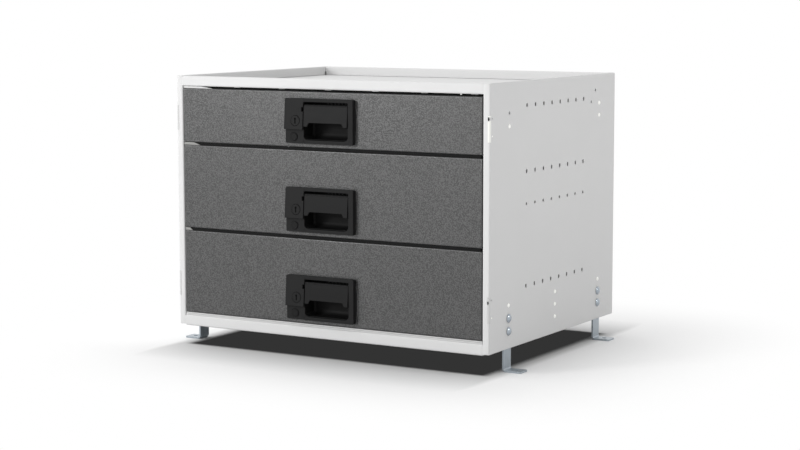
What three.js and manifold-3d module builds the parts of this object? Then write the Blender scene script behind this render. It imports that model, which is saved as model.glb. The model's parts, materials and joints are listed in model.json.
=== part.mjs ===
// A steel drawer cabinet for a van: a folded shell on four leg brackets, a tray on top, and three
// drawers on telescopic slides, each with a recessed paddle handle, a key lock and a push button.
// Millimetres. X runs to the right, Y to the back, Z up; the floor is at zero.
import * as THREE from "three";
import { mergeVertices } from "three/addons/utils/BufferGeometryUtils.js";
import Module from "manifold-3d";

const wasm = await Module();
wasm.setup();

// Sheet metal
const sheet = 1.5;
const bendInside = 1.5;
const seat = 0.3; // the play between pieces that rest on each other
const overrun = 5; // how far a cut passes the wall it goes through

// Drawer fronts and the rails above and below them, from the bottom edge of the cabinet up
const railHeight = 18;
const baseHeight = 19.6; // the bottom rail, a little higher
const lowGap = 5.6;
const frontGap = 5;
const topGap = 4;
const lowFront = 149;
const midFront = 149;
const topFront = 96.4;
const frontDepth = 28;
const frontSheet = 1.5;
const frontCorner = 2.2;
const frontSideReturn = 24; // turned in behind each end, where the drawer box is fixed
const frontEdgeReturn = 14; // turned in along the upper and lower edges
const sideGap = 1; // between a drawer front and the post beside it

// Cabinet
const cabinetWidth = 635;
const cabinetDepth = 493;
const legLift = 35.4;
const postWidth = 13.5;
const postLip = 16;
const rimWidth = 6;
const rimDrop = 10;
const rearReturn = 14;
const floorFlange = 25.5;
const rearUpstand = 20;
const railLip = 22;
const railTurn = 8;
const deckSkirt = 4;
const deckRearGap = 3;
const lugWidth = 12;
const lugLength = 3;
const lugProud = 1;
const lugMargin = 18.7; // from each end of the rail to the first lug's middle
const lugBack = 6;
const lugCount = 7;

// Holes in the side panels
const holeRadius = 3;
const holeRise = 0.9; // how far the long holes reach past a round one, upwards and downwards
const holePitch = 32;
const holesInRow = 8;
const rowStart = 133.6;
const spareRowAbove = 55.5; // the unused row stands above the middle drawer's row
const legPitch = 177.5; // from the middle column of fixing holes to the front and rear columns
const legMiddle = 246.5;
const topHoleDown = 52;
const cornerHoleDown = 49;
const cornerHoleAhead = 34; // from the rear column forward
const cornerHolePitch = 17.5;
const cornerHoleRise = 20.4;
const slotWidth = 2.7;
const slotHeight = 44;
const slotLow = 54.6;
const slotPitch = 300;
const clipHoleRadius = 1.7;
const clipHoleBack = 7;
const clipHoleAbove = 39;

// Leg brackets and their bolts
const legSheet = 3;
const legBend = 3;
const legWidth = 26.5;
const legReach = 30; // how far a foot stands out past the side panel
const legTop = 83.1;
const legCorner = 3;
const footHoleOut = 15;
const footHoleRadius = 4.5;
const boltLow = 32.6;
const boltPitch = 22;
const boltRadius = 4;
const boltHoleRadius = 4.5;
const boltHeadRadius = 7.5;
const boltHeadHeight = 4.5;
const nutRadius = 7;
const nutHeight = 6;

// Telescopic slides: u runs inwards from the inner face of a side panel
const slideSheet = 1.3;
const slideBend = 0.5;
const spacerDepth = 12.8;
const slideThick = 13;
const fixedHeight = 36;
const middleHeight = 29.4;
const memberHeight = 19.6;
const fixedLip = 2.3;
const middleLip = 3.9;
const slidePlay = 0.6;
const slideFrontBack = 32; // from the cabinet's front face to the slides
const slideRear = 11; // from the slides to the back of the cabinet
const lowSlideAbove = 76.5;
const midSlideAbove = 63.1;
const topSlideAbove = 76.4;

// Drawer boxes
const boxSheet = 1.2;
const boxLift = 6;
const lowBoxHeight = 116;
const midBoxHeight = 116;
const topBoxHeight = 86;
const boxRear = 15;
const boxHem = 1.3; // the walls' upper edge, folded down outside
const boxHemHeight = 5;
const boxCorner = 3;

// Handle housing, measured from its own left edge and from the drawer front's lower edge
const handleLeft = -78.9;
const handleWidth = 137.8;
const handleHeight = 77.7;
const handleLift = 7.2;
const handleProud = 8.4;
const plateThick = 6.9;
const plateInset = 1.2;
const plateCorner = 3;
const sideBulge = 3;
const stepHeight = 24;
const wedgeProud = 4;
const lowBlockBack = 1.4;
const grooveWidth = 0.8;
const grooveDepth = 0.6;
const windowLeft = 38;
const windowWidth = 89.9;
const windowLow = 6;
const windowHeight = 65.7;
const windowCorner = 2;
const windowLowCorner = 8.5;
const cupDepth = 26;
const cupWall = 2;
const cutoutInset = 3.2;
const notchHeight = 7.5;
const notchDepth = 3.5;
const notchAbove = 49;

// Paddle
const paddlePlay = 0.9;
const paddleThick = 3;
const paddleSink = 0.4; // of its upper end, behind the front face of the bezel
const paddleLean = 2.8; // how much further out its lower end stands
const paddleLow = 23; // from the window's lower edge to the lobes
const paddleNotch = 7;
const paddleLobe = 11;
const paddleSlope = 4;
const barrelRadius = 2.6;
const barrelDown = 6.8; // from the window's upper edge to the pin
const hingePinRadius = 1.5;
const hingePinReach = 2.6;

// Lock, button and latch
const lockLeft = 23;
const lockUp = 39.3;
const lockRadius = 8.8;
const lockProud = 0.5;
const lockDepth = 20;
const keyWidth = 1.8;
const keyHeight = 10;
const keyDepth = 7;
const keyHeadRadius = 1.9;
const camWidth = 7;
const camLength = 17;
const camThick = 2;
const buttonLeft = 17.6;
const buttonUp = 11.2;
const buttonRadius = 7.3;
const buttonProud = 1.2;
const buttonDepth = 11;
const buttonCrown = 0.7;
const rodRadius = 3.5;
const rodBack = 13;
const rodUp = 14.8;
const rodShort = 0.4; // from the outside of the drawer front's flange to the rod's tip
const bossLength = 16;
const bossWall = 2;
const rodRest = 9.4; // from the cup's wall to the end of the rod at rest
const keeperSize = 12;

// Finish of the arcs
const bendSteps = 3;
const holeSides = 8;
const boltSides = 12;
const roundSides = 16;
const arcSteps = 3;

// Places worked out from the sizes above
const openingHeight = lowGap + lowFront + frontGap + midFront + frontGap + topFront + topGap;
const cabinetHeight = baseHeight + openingHeight + railHeight;
const frontY = (handleProud + wedgeProud - cabinetDepth) / 2;
const rearY = frontY + cabinetDepth;
const topZ = legLift + cabinetHeight;
const deckTop = topZ - railHeight + sheet - seat;
const innerX = cabinetWidth / 2 - sheet;
const postX = cabinetWidth / 2 - postWidth;
const frontHalf = postX - sideGap;
const bendMiddle = bendInside + sheet / 2;
const rimPitch = rimWidth - sheet;
const backY = rearY - sheet - seat - sheet; // inner face of the back panel
const slideStart = frontY + slideFrontBack;
const slideEnd = rearY - slideRear;
const boxHalf = innerX - spacerDepth + slideSheet - slideThick - seat;
const lowestFront = legLift + baseHeight + lowGap;
const middleFront = lowestFront + lowFront + frontGap;
const highestFront = middleFront + midFront + frontGap;
const drawers = [
  { name: "bottom", z: lowestFront, front: lowFront, box: lowBoxHeight, slide: lowSlideAbove },
  { name: "middle", z: middleFront, front: midFront, box: midBoxHeight, slide: midSlideAbove },
  { name: "top", z: highestFront, front: topFront, box: topBoxHeight, slide: topSlideAbove },
];
const legCentres = { front: frontY + legMiddle - legPitch, rear: frontY + legMiddle + legPitch };
const sides = { left: -1, right: 1 };

// Shapes and solids
const at = (x, y) => new THREE.Vector2(x, y);

function toSolid(geometry) {
  const bare = geometry.clone();
  bare.deleteAttribute("normal");
  bare.deleteAttribute("uv");
  const merged = mergeVertices(bare);
  return new wasm.Manifold(
    new wasm.Mesh({
      numProp: 3,
      vertProperties: new Float32Array(merged.attributes.position.array),
      triVerts: new Uint32Array(merged.index.array),
    }),
  );
}

function toGeometry(solid) {
  const made = solid.getMesh();
  const geometry = new THREE.BufferGeometry();
  const places = new Float32Array(made.vertProperties);
  geometry.setAttribute("position", new THREE.BufferAttribute(places, 3));
  geometry.setIndex(new THREE.BufferAttribute(new Uint32Array(made.triVerts), 1));
  geometry.computeVertexNormals();
  return geometry;
}

const joined = (...solids) => solids.reduce((whole, piece) => whole.add(piece));
const cut = (body, ...cutters) => cutters.reduce((rest, cutter) => rest.subtract(cutter), body);

// A block between two corners.
function block(x0, x1, y0, y1, z0, z1) {
  const geometry = new THREE.BoxGeometry(
    Math.abs(x1 - x0), Math.abs(y1 - y0), Math.abs(z1 - z0));
  geometry.translate((x0 + x1) / 2, (y0 + y1) / 2, (z0 + z1) / 2);
  return toSolid(geometry);
}

// A flat shape carried from one place to another along an axis. Its two coordinates are
// (y, z) along X, (x, z) along Y and (x, y) along Z.
const axes = {
  x: [new THREE.Vector3(0, 1, 0), new THREE.Vector3(0, 0, 1), new THREE.Vector3(1, 0, 0)],
  y: [new THREE.Vector3(1, 0, 0), new THREE.Vector3(0, 0, 1), new THREE.Vector3(0, -1, 0)],
  z: [new THREE.Vector3(1, 0, 0), new THREE.Vector3(0, 1, 0), new THREE.Vector3(0, 0, 1)],
};

function carried(shape, axis, from, to) {
  const geometry = new THREE.ExtrudeGeometry(shape, {
    depth: to - from, bevelEnabled: false, curveSegments: arcSteps });
  geometry.applyMatrix4(new THREE.Matrix4().makeBasis(...axes[axis]));
  const start = axis === "y" ? to : from;
  geometry.translate(axis === "x" ? start : 0, axis === "y" ? start : 0, axis === "z" ? start : 0);
  return toSolid(geometry);
}

// A round bar along an axis. A rise lengthens its section upwards and downwards.
function round(axis, across, up, radius, from, to, steps = roundSides, rise = 0) {
  const points = Array.from({ length: steps }, (_, i) => {
    const turn = (i + 1 / 2) * 2 * Math.PI / steps;
    return at(across + radius * Math.cos(turn),
      up + radius * Math.sin(turn) + rise * Math.sign(Math.sin(turn)));
  });
  return carried(new THREE.Shape(points), axis, from, to);
}

// A turned piece: its profile is (distance along the axis, radius), and the axis runs along X.
function turnedX(profile, y, z, steps) {
  const geometry = new THREE.LatheGeometry(profile.map(([along, radius]) => at(radius, along)), steps);
  geometry.rotateZ(-Math.PI / 2);
  geometry.translate(0, y, z);
  const solid = toSolid(geometry);
  return solid.volume() > 0 ? solid : toSolid(flipped(geometry));
}

function flipped(geometry) {
  const index = geometry.index.array;
  for (let i = 0; i < index.length; i += 3) [index[i], index[i + 1]] = [index[i + 1], index[i]];
  return geometry;
}

// The outline of a folded sheet. Its middle line runs through the points, each bend is an arc, and
// the sheet stands half its thickness to each side of that line.
function folded(points, thickness, bend, steps = bendSteps) {
  const line = [];
  const left = (d) => at(-d.y, d.x);
  const ways = points.slice(1).map((p, i) => p.clone().sub(points[i]).normalize());
  line.push([points[0], left(ways[0])]);
  for (let i = 1; i < points.length - 1; i += 1) {
    const a = ways[i - 1];
    const b = ways[i];
    const turn = Math.atan2(a.cross(b), a.dot(b));
    const hand = Math.sign(turn);
    const reach = bend * Math.tan(Math.abs(turn) / 2);
    const centre = points[i].clone().addScaledVector(a, -reach).addScaledVector(left(a), hand * bend);
    for (let k = 0; k <= steps; k += 1) {
      const normal = left(a).rotateAround(at(0, 0), turn * k / steps);
      line.push([centre.clone().addScaledVector(normal, -hand * bend), normal]);
    }
  }
  line.push([points[points.length - 1], left(ways[ways.length - 1])]);
  const near = thickness / 100;
  const kept = line.filter(([p], i) => i === 0 || p.distanceTo(line[i - 1][0]) > near);
  const offset = (half) => kept.map(([p, n]) => p.clone().addScaledVector(n, half));
  return new THREE.Shape([...offset(thickness / 2), ...offset(-thickness / 2).reverse()]);
}

// A rectangle with its own radius at each corner: lower left, lower right, upper right, upper left.
function rounded(x0, x1, y0, y1, radii) {
  const [a, b, c, d] = radii;
  const shape = new THREE.Shape();
  shape.moveTo(x0 + a, y0);
  shape.lineTo(x1 - b, y0);
  if (b > 0) shape.absarc(x1 - b, y0 + b, b, -Math.PI / 2, 0);
  shape.lineTo(x1, y1 - c);
  if (c > 0) shape.absarc(x1 - c, y1 - c, c, 0, Math.PI / 2);
  shape.lineTo(x0 + d, y1);
  if (d > 0) shape.absarc(x0 + d, y1 - d, d, Math.PI / 2, Math.PI);
  shape.lineTo(x0, y0 + a);
  if (a > 0) shape.absarc(x0 + a, y0 + a, a, Math.PI, Math.PI * 3 / 2);
  return shape;
}

// Finishes, one material for each, and the named mesh
const finishes = {
  shell: { color: 0xe2e2e0, roughness: 0.45, metalness: 0 },
  front: { color: 0x5a5a58, roughness: 0.7, metalness: 0 },
  box: { color: 0xb9babb, roughness: 0.5, metalness: 0 },
  zinc: { color: 0xaeb6bf, roughness: 0.35, metalness: 0.9 },
  plastic: { color: 0x2c2c2d, roughness: 0.5, metalness: 0 },
};

const cabinet = new THREE.Group();

function piece(name, finish, solid) {
  const mesh = new THREE.Mesh(toGeometry(solid), new THREE.MeshStandardMaterial(finishes[finish]));
  mesh.name = name;
  cabinet.add(mesh);
}

// Side panel: the wall, the front post folded from it and capped, the rolled rim, the bottom flange
// and the rear return. Its holes are the slide rows (long but in the middle drawer's row), the leg
// and fixing columns and the clip slots.
function sidePanel(hand, keepers) {
  const outer = hand * cabinetWidth / 2;
  const wall = outer - hand * sheet / 2;
  const lip = hand * (postX + sheet / 2);
  const base = legLift + sheet + seat;
  const bendOut = bendInside + sheet;
  const plan = folded([
    at(lip, frontY + postLip),
    at(lip, frontY + sheet / 2),
    at(wall, frontY + sheet / 2),
    at(wall, rearY - sheet / 2),
    at(outer - hand * rearReturn, rearY - sheet / 2),
  ], sheet, bendMiddle);
  const section = folded([
    at(outer - hand * floorFlange, base + sheet / 2),
    at(wall, base + sheet / 2),
    at(wall, topZ - sheet / 2),
    at(wall - hand * rimPitch, topZ - sheet / 2),
    at(wall - hand * rimPitch, topZ - rimDrop),
  ], sheet, bendMiddle);
  const [low, high] = [Math.min(outer, hand * postX), Math.max(outer, hand * postX)];
  const caps = [topZ - sheet, base].map((z) => block(low, high, frontY, frontY + postLip, z, z + sheet));
  const across = [Math.min(outer, 0), Math.max(outer, 0)];
  const outerRadii = hand > 0 ? [0, bendOut, bendOut, 0] : [bendOut, 0, 0, bendOut];
  const acrossLimit = carried(rounded(...across, base, topZ, outerRadii), "y", frontY, rearY);
  const alongLimit = carried(rounded(frontY, rearY, base, topZ, [bendOut, 0, 0, bendOut]), "x",
    Math.min(across[0], -overrun), Math.max(across[1], overrun));
  const blank = joined(
    carried(plan, "z", base, topZ),
    carried(section, "y", frontY + postLip, rearY - sheet),
    ...caps,
  ).intersect(acrossLimit).intersect(alongLimit);

  const [near, far] = [outer - hand * (sheet + bendInside), outer + hand * overrun];
  const hole = (y, z, radius = holeRadius, rise = 0) => round("x", frontY + y, legLift + z,
    radius, Math.min(near, far), Math.max(near, far), holeSides, rise);
  const rows = drawers.map((drawer) => drawer.z - legLift + drawer.slide);
  rows.push(rows[1] + spareRowAbove);
  const rises = [holeRise, 0, holeRise, holeRise];
  const places = rows.flatMap((z, row) =>
    Array.from({ length: holesInRow }, (_, i) => [rowStart + i * holePitch, z, rises[row]]));
  const columns = [legMiddle - legPitch, legMiddle + legPitch];
  columns.forEach((y) => places.push([y, cabinetHeight - topHoleDown]));
  columns.forEach((y) => places.push([y, boltLow + 2 * boltPitch]));
  const corner = columns[1] - cornerHoleAhead;
  places.push([corner, cabinetHeight - cornerHoleDown]);
  places.push([corner + cornerHolePitch, cabinetHeight - cornerHoleDown + cornerHoleRise]);
  const cutters = places.map(([y, z, rise]) => hole(y, z, holeRadius, rise));
  columns.forEach((y) => {
    cutters.push(hole(y, boltLow, boltHoleRadius));
    cutters.push(hole(y, boltLow + boltPitch, boltHoleRadius));
  });
  [slotLow, slotLow + slotPitch].forEach((z) => {
    const inner = hand * (innerX - seat);
    const [x0, x1] = [Math.min(inner, inner - hand * slotWidth), Math.max(inner, inner - hand * slotWidth)];
    cutters.push(block(x0, x1, frontY - overrun, frontY + sheet + bendInside,
      legLift + z, legLift + z + slotHeight));
    cutters.push(hole(clipHoleBack, z + clipHoleAbove, clipHoleRadius));
  });
  Object.values(legCentres).forEach((y) => {
    const half = legWidth / 2 + seat;
    const [x0, x1] = [hand * innerX, hand * (innerX - seat - legSheet - seat)];
    cutters.push(block(Math.min(x0, x1), Math.max(x0, x1), y - half, y + half,
      base - overrun, base + bendOut + sheet));
  });
  keepers.forEach((z) => cutters.push(block(
    Math.min(hand * (postX - overrun), hand * (postX + sheet + seat)),
    Math.max(hand * (postX - overrun), hand * (postX + sheet + seat)),
    frontY + rodBack - keeperSize / 2 + sheet, frontY + rodBack + keeperSize / 2,
    z - keeperSize / 2, z + keeperSize / 2)));
  return cut(blank, ...cutters);
}

// Pressed lugs in a row along a rail, centred on the cabinet.
function lugs(low, high) {
  const outermost = postX - seat - lugMargin;
  return Array.from({ length: lugCount }, (_, i) => {
    const x = outermost * (2 * i / (lugCount - 1) - 1);
    return block(x - lugWidth / 2, x + lugWidth / 2,
      frontY + lugBack, frontY + lugBack + lugLength, low, high);
  });
}

// Top tray: one sheet from its rear edge forward, up the front rail and over into the rolled rim.
// Behind the posts it widens to the side walls, with a short skirt down each.
function topTray() {
  const middle = deckTop - sheet / 2;
  const rear = backY - deckRearGap;
  const half = postX - seat;
  const wide = innerX - seat;
  const shape = folded([
    at(rear, middle),
    at(frontY + sheet / 2, middle),
    at(frontY + sheet / 2, topZ - sheet / 2),
    at(frontY + sheet / 2 + rimPitch, topZ - sheet / 2),
    at(frontY + sheet / 2 + rimPitch, topZ - rimDrop),
  ], sheet, bendMiddle);
  const start = frontY + postLip + seat;
  const skirts = [-wide, wide - sheet].map((x) =>
    block(x, x + sheet, start, rear, deckTop - sheet - deckSkirt, deckTop));
  const deck = block(-wide, wide, start, rear, deckTop - sheet, deckTop);
  return joined(carried(shape, "x", -half, half), deck, ...skirts,
    ...lugs(deckTop - sheet - lugProud, deckTop));
}

// Bottom panel: an upstand at the rear, the floor, the front rail and its lip turned down.
function bottomPanel() {
  const middle = legLift + sheet / 2;
  const rear = backY - seat - sheet / 2;
  const lip = legLift + baseHeight - sheet / 2;
  const half = postX - seat;
  const shape = folded([
    at(rear, legLift + rearUpstand),
    at(rear, middle),
    at(frontY + sheet / 2, middle),
    at(frontY + sheet / 2, lip),
    at(frontY + railLip, lip),
    at(frontY + railLip, legLift + baseHeight - railTurn),
  ], sheet, bendMiddle);
  const rail = legLift + baseHeight;
  const flange = cabinetWidth / 2 - floorFlange - seat;
  const corners = [-half - overrun, flange].map((x) => block(x, x + half + overrun - flange,
    rear - bendMiddle - seat, rear + sheet, legLift + sheet, rail + rearUpstand));
  return cut(joined(carried(shape, "x", -half, half), ...lugs(rail - sheet, rail + lugProud)),
    ...corners);
}

// Back panel, inside the rear returns, with its own rolled rim between those of the sides.
function backPanel() {
  const middle = backY + sheet / 2;
  const base = legLift + sheet + seat + sheet + seat;
  const shape = folded([
    at(middle, base),
    at(middle, topZ - sheet / 2),
    at(middle - rimPitch, topZ - sheet / 2),
    at(middle - rimPitch, topZ - rimDrop),
  ], sheet, bendMiddle);
  const half = innerX + sheet - rimWidth - seat;
  const wide = innerX - bendInside;
  return joined(carried(shape, "x", -half, half),
    block(-wide, wide, backY, backY + sheet, base, topZ - rimDrop - seat));
}

// Leg bracket: an upright inside the side panel and a foot turned outwards under it.
function legBracket(hand, y) {
  const upright = hand * (innerX - seat - legSheet / 2);
  const end = hand * (cabinetWidth / 2 + legReach);
  const shape = folded([
    at(upright, legLift + legTop),
    at(upright, legSheet / 2),
    at(end, legSheet / 2),
  ], legSheet, legBend + legSheet / 2, arcSteps);
  const bar = carried(shape, "y", y - legWidth / 2, y + legWidth / 2);
  const limit = carried(rounded(Math.min(0, end), Math.max(0, end), y - legWidth / 2, y + legWidth / 2,
    [legCorner, legCorner, legCorner, legCorner]), "z", 0, legLift + legTop);
  const foot = round("z", hand * (cabinetWidth / 2 + footHoleOut), y, footHoleRadius,
    -overrun, legSheet + overrun, roundSides);
  const [near, far] = [upright - hand * overrun, upright + hand * overrun];
  const bolts = [boltLow, boltLow + boltPitch].map((z) => round("x", y, legLift + z,
    boltHoleRadius, Math.min(near, far), Math.max(near, far), holeSides));
  return cut(bar.intersect(limit), foot, ...bolts);
}

// Bolt with a domed head outside the panel and a hexagon nut behind the bracket.
function legBolt(hand, y, z) {
  const head = hand * (cabinetWidth / 2 + seat);
  const back = hand * (innerX - seat - legSheet - seat);
  const tip = back - hand * (nutHeight + legSheet);
  const dome = Array.from({ length: arcSteps }, (_, i) => {
    const turn = i * Math.PI / 2 / arcSteps;
    return [head + hand * boltHeadHeight * Math.sin(turn), boltHeadRadius * Math.cos(turn)];
  });
  const profile = [[tip, 0], [tip, boltRadius], [head, boltRadius], ...dome,
    [head + hand * boltHeadHeight, 0]];
  const nut = round("x", y, z, nutRadius, Math.min(back, back - hand * nutHeight),
    Math.max(back, back - hand * nutHeight), 6);
  return joined(turnedX(profile, y, z, boltSides), nut);
}

// Sections of the slides, as folded channels open on one side: from the tip of one lip round the
// web to the tip of the other.
function channel(hand, web, tip, height, lip, z) {
  const x = (u) => hand * (innerX - u);
  const half = height / 2 - slideSheet / 2;
  const points = [at(x(tip), z + half), at(x(web), z + half), at(x(web), z - half), at(x(tip), z - half)];
  if (lip > 0) {
    points.unshift(at(x(tip), z + half - lip));
    points.push(at(x(tip), z - half + lip));
  }
  return folded(points, slideSheet, slideBend + slideSheet / 2, 2);
}

const fixedWeb = spacerDepth - slideSheet / 2;
const fixedTip = fixedWeb + slideThick - 4 * slideSheet;
const middleWeb = fixedWeb + slideSheet + slidePlay;
const middleTip = fixedTip;
const memberWeb = fixedWeb + slideThick - slideSheet;
const memberTip = middleWeb + slideSheet / 2 + slidePlay;

function fixedRail(hand, z) {
  const spacerWeb = seat + sheet / 2;
  const half = (fixedHeight - slideSheet) / 2 - slideSheet;
  const spacer = folded([
    at(hand * (innerX - fixedWeb), z + half),
    at(hand * (innerX - spacerWeb), z + half),
    at(hand * (innerX - spacerWeb), z - half),
    at(hand * (innerX - fixedWeb), z - half),
  ], sheet, bendMiddle, 2);
  return joined(
    carried(channel(hand, fixedWeb, fixedTip, fixedHeight, fixedLip, z), "y", slideStart, slideEnd),
    carried(spacer, "y", slideStart, slideEnd));
}

const middleMember = (hand, z) => carried(
  channel(hand, middleWeb, middleTip, middleHeight, middleLip, z), "y", slideStart, slideEnd);
const drawerMember = (hand, z) => carried(
  channel(hand, memberWeb, memberTip, memberHeight, 0, z), "y", slideStart, slideEnd);

// Drawer front: a pan with soft edges whose four sides turn in again at the back to meet the box,
// cut out for the handle and for the rod.
function drawerFront(z, height) {
  const shell = (inset) => {
    const half = frontHalf - inset;
    const y0 = frontY + inset;
    const y1 = frontY + frontDepth - inset;
    const r = Math.max(frontCorner - inset, 0);
    const plan = carried(rounded(-half, half, y0, y1, [r, r, 0, 0]), "z", z + inset, z + height - inset);
    const side = rounded(y0, y1, z + inset, z + height - inset, [r, 0, 0, r]);
    return plan.intersect(carried(side, "x", -half, half));
  };
  const opening = rounded(
    handleLeft + cutoutInset, handleLeft + handleWidth - cutoutInset,
    z + handleLift + cutoutInset, z + handleLift + handleHeight - cutoutInset,
    [plateCorner, plateCorner, plateCorner, plateCorner]);
  const rodHole = round("x", frontY + rodBack, z + handleLift + rodUp, rodRadius + seat,
    -frontHalf - overrun, -frontHalf + overrun);
  const mouth = block(-frontHalf + frontSideReturn, frontHalf - frontSideReturn,
    frontY + frontDepth - overrun, frontY + frontDepth + overrun,
    z + frontEdgeReturn, z + height - frontEdgeReturn);
  return cut(shell(0), shell(frontSheet), mouth,
    carried(opening, "y", frontY - overrun, frontY + frontSheet + overrun), rodHole);
}

// Drawer box: floor and four walls, with a hem outside the upper edge of the side and rear walls.
function drawerBox(z, height) {
  const y0 = frontY + frontDepth + seat;
  const y1 = rearY - boxRear;
  const base = z + boxLift;
  const top = base + height;
  const r = boxCorner;
  const walls = carried(rounded(-boxHalf, boxHalf, y0, y1, [r, r, r, r]), "z", base, top);
  const hem = carried(rounded(-boxHalf - boxHem, boxHalf + boxHem, y0, y1 + boxHem, [0, 0, r, r]),
    "z", top - boxHemHeight, top);
  return cut(joined(walls, hem), block(-boxHalf + boxSheet, boxHalf - boxSheet,
    y0 + boxSheet, y1 - boxSheet, base + boxSheet, top + overrun));
}

// Handle housing: bezel plate over a body that bulges to the right, the finger cup behind the
// window, the wedge-shaped lock block and the lower block with the button.
function handleHousing(z) {
  const x0 = handleLeft;
  const x1 = handleLeft + handleWidth;
  const z0 = z + handleLift;
  const z1 = z0 + handleHeight;
  const face = frontY - handleProud;
  const under = face + plateThick;
  const stand = frontY - seat;
  const division = x0 + windowLeft;
  const step = z0 + stepHeight;
  const c = plateCorner;
  const plate = carried(rounded(x0, x1, z0, z1, [c, c, c, c]), "y", face, under);
  const middleZ = (z0 + z1) / 2;
  const bulge = new THREE.Shape();
  bulge.moveTo(x0 + plateInset, z0 + plateInset);
  bulge.lineTo(x1 - plateInset, z0 + plateInset);
  bulge.quadraticCurveTo(x1 + 2 * sideBulge + plateInset, middleZ, x1 - plateInset, z1 - plateInset);
  bulge.lineTo(x0 + plateInset, z1 - plateInset);
  const body = carried(bulge, "y", under, stand);
  const fit = cutoutInset + seat;
  const collar = carried(rounded(x0 + fit, x1 - fit, z0 + fit, z1 - fit, [c, c, c, c]), "y",
    stand, frontY + frontSheet + cupWall);
  const wx0 = x0 + windowLeft;
  const wx1 = wx0 + windowWidth;
  const wz0 = z0 + windowLow;
  const wz1 = wz0 + windowHeight;
  const wide = windowLowCorner;
  const narrow = windowCorner;
  const cup = carried(rounded(wx0 - cupWall, wx1 + cupWall, wz0 - cupWall, wz1 + cupWall,
    [wide, wide, narrow, narrow]), "y", stand, frontY + cupDepth);
  const window = carried(rounded(wx0, wx1, wz0, wz1, [wide, wide, narrow, narrow]), "y",
    face - overrun, frontY + cupDepth - cupWall);
  const wedge = carried(new THREE.Shape([
    at(face, z1), at(face - wedgeProud, step), at(under, step), at(under, z1)]), "x", x0, division)
    .intersect(carried(rounded(x0, division, step, z1, [0, 0, 0, c]), "y",
      face - wedgeProud, under));
  const bossZ = z0 + rodUp;
  const boss = block(wx0 - bossLength, wx0 - seat, frontY + rodBack - rodRadius - bossWall,
    frontY + rodBack + rodRadius + bossWall, bossZ - rodRadius - bossWall, bossZ + rodRadius + bossWall);
  const lowBlock = block(x0 - overrun, division, face - overrun, face + lowBlockBack,
    z0 - overrun, step);
  const groove = block(division, division + grooveWidth, face - overrun, face + grooveDepth,
    z0 + c, wz0 + seat);
  const lock = round("y", x0 + lockLeft, z0 + lockUp, lockRadius + seat,
    face - wedgeProud - overrun, frontY + cupDepth);
  const button = round("y", x0 + buttonLeft, z0 + buttonUp, buttonRadius + seat,
    face - overrun, frontY + rodBack - rodRadius - bossWall);
  const rod = round("x", frontY + rodBack, bossZ, rodRadius + seat,
    wx0 - bossLength - overrun, wx0 - cupWall);
  const pinY = face + paddleSink + barrelRadius;
  const pin = round("x", pinY, wz1 - barrelDown, hingePinRadius + seat,
    wx0 - hingePinReach - seat, wx1 + hingePinReach + seat, holeSides);
  const notch = block(wx0 - notchDepth, wx0 + seat, face - overrun, face + notchHeight,
    wz0 + notchAbove, wz0 + notchAbove + notchHeight);
  return cut(joined(plate, body, collar, cup, wedge, boss),
    window, lowBlock, groove, lock, button, rod, pin, notch);
}

// Paddle: a leaning plate rolled round its hinge barrel, with a lobe at each end of its lower edge.
function paddle(z) {
  const wx0 = handleLeft + windowLeft;
  const wx1 = wx0 + windowWidth;
  const wz0 = z + handleLift + windowLow;
  const wz1 = wz0 + windowHeight;
  const x0 = wx0 + paddlePlay;
  const x1 = wx1 - paddlePlay;
  const face = frontY - handleProud + paddleSink;
  const pinY = face + barrelRadius;
  const pinZ = wz1 - barrelDown;
  const low = wz0 + paddleLow;
  const edge = paddleThick / 3;
  const tip = face - paddleLean;
  const plate = new THREE.Shape([
    at(face, pinZ), at(tip, low + edge), at(tip + edge, low), at(tip + paddleThick, low),
    at(face + paddleThick, pinZ)]);
  const outline = new THREE.Shape([
    at(x0, low), at(x0 + paddleLobe - paddleSlope, low), at(x0 + paddleLobe, low + paddleNotch),
    at(x1 - paddleLobe, low + paddleNotch), at(x1 - paddleLobe + paddleSlope, low), at(x1, low),
    at(x1, wz1), at(x0, wz1)]);
  const leaf = carried(plate, "x", x0, x1).intersect(carried(outline, "y", tip, face + paddleThick));
  return joined(leaf,
    round("x", pinY, pinZ, barrelRadius, x0, x1),
    round("x", pinY, pinZ, hingePinRadius, x0 - hingePinReach, x1 + hingePinReach, holeSides));
}

// Lock cylinder: a barrel with a key slot, and its cam at the back.
function lockCylinder(z) {
  const x = handleLeft + lockLeft;
  const up = z + handleLift + lockUp;
  const stepShare = (lockUp - stepHeight) / (handleHeight - stepHeight);
  const face = frontY - handleProud - wedgeProud * (1 - stepShare) - lockProud;
  const end = frontY + lockDepth;
  const barrel = round("y", x, up, lockRadius, face, end - camThick);
  const slot = joined(
    block(x - keyWidth / 2, x + keyWidth / 2, face - overrun, face + keyDepth,
      up - keyHeight / 2, up + keyHeight / 2),
    round("y", x, up + keyHeight / 2 - keyHeadRadius, keyHeadRadius,
      face - overrun, face + keyDepth, holeSides));
  const cam = carried(rounded(x - camWidth / 2, x + camWidth / 2, up - camLength, up + camWidth / 2,
    [camThick, camThick, camThick, camThick]), "y", end - camThick, end);
  return joined(cut(barrel, slot), cam);
}

// Push button with a shallow crown.
function pushButton(z) {
  const x = handleLeft + buttonLeft;
  const up = z + handleLift + buttonUp;
  const face = frontY - handleProud + lowBlockBack - buttonProud;
  const crown = round("y", x, up, buttonRadius - buttonCrown, face, face + buttonDepth);
  return joined(crown, round("y", x, up, buttonRadius, face + buttonCrown, face + buttonDepth));
}

// Latch rod, from the boss on the cup to the drawer front's left flange.
function latchRod(z) {
  const wall = handleLeft + windowLeft - cupWall;
  return round("x", frontY + rodBack, z + handleLift + rodUp, rodRadius,
    -frontHalf + rodShort, wall - rodRest, holeSides);
}

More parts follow.
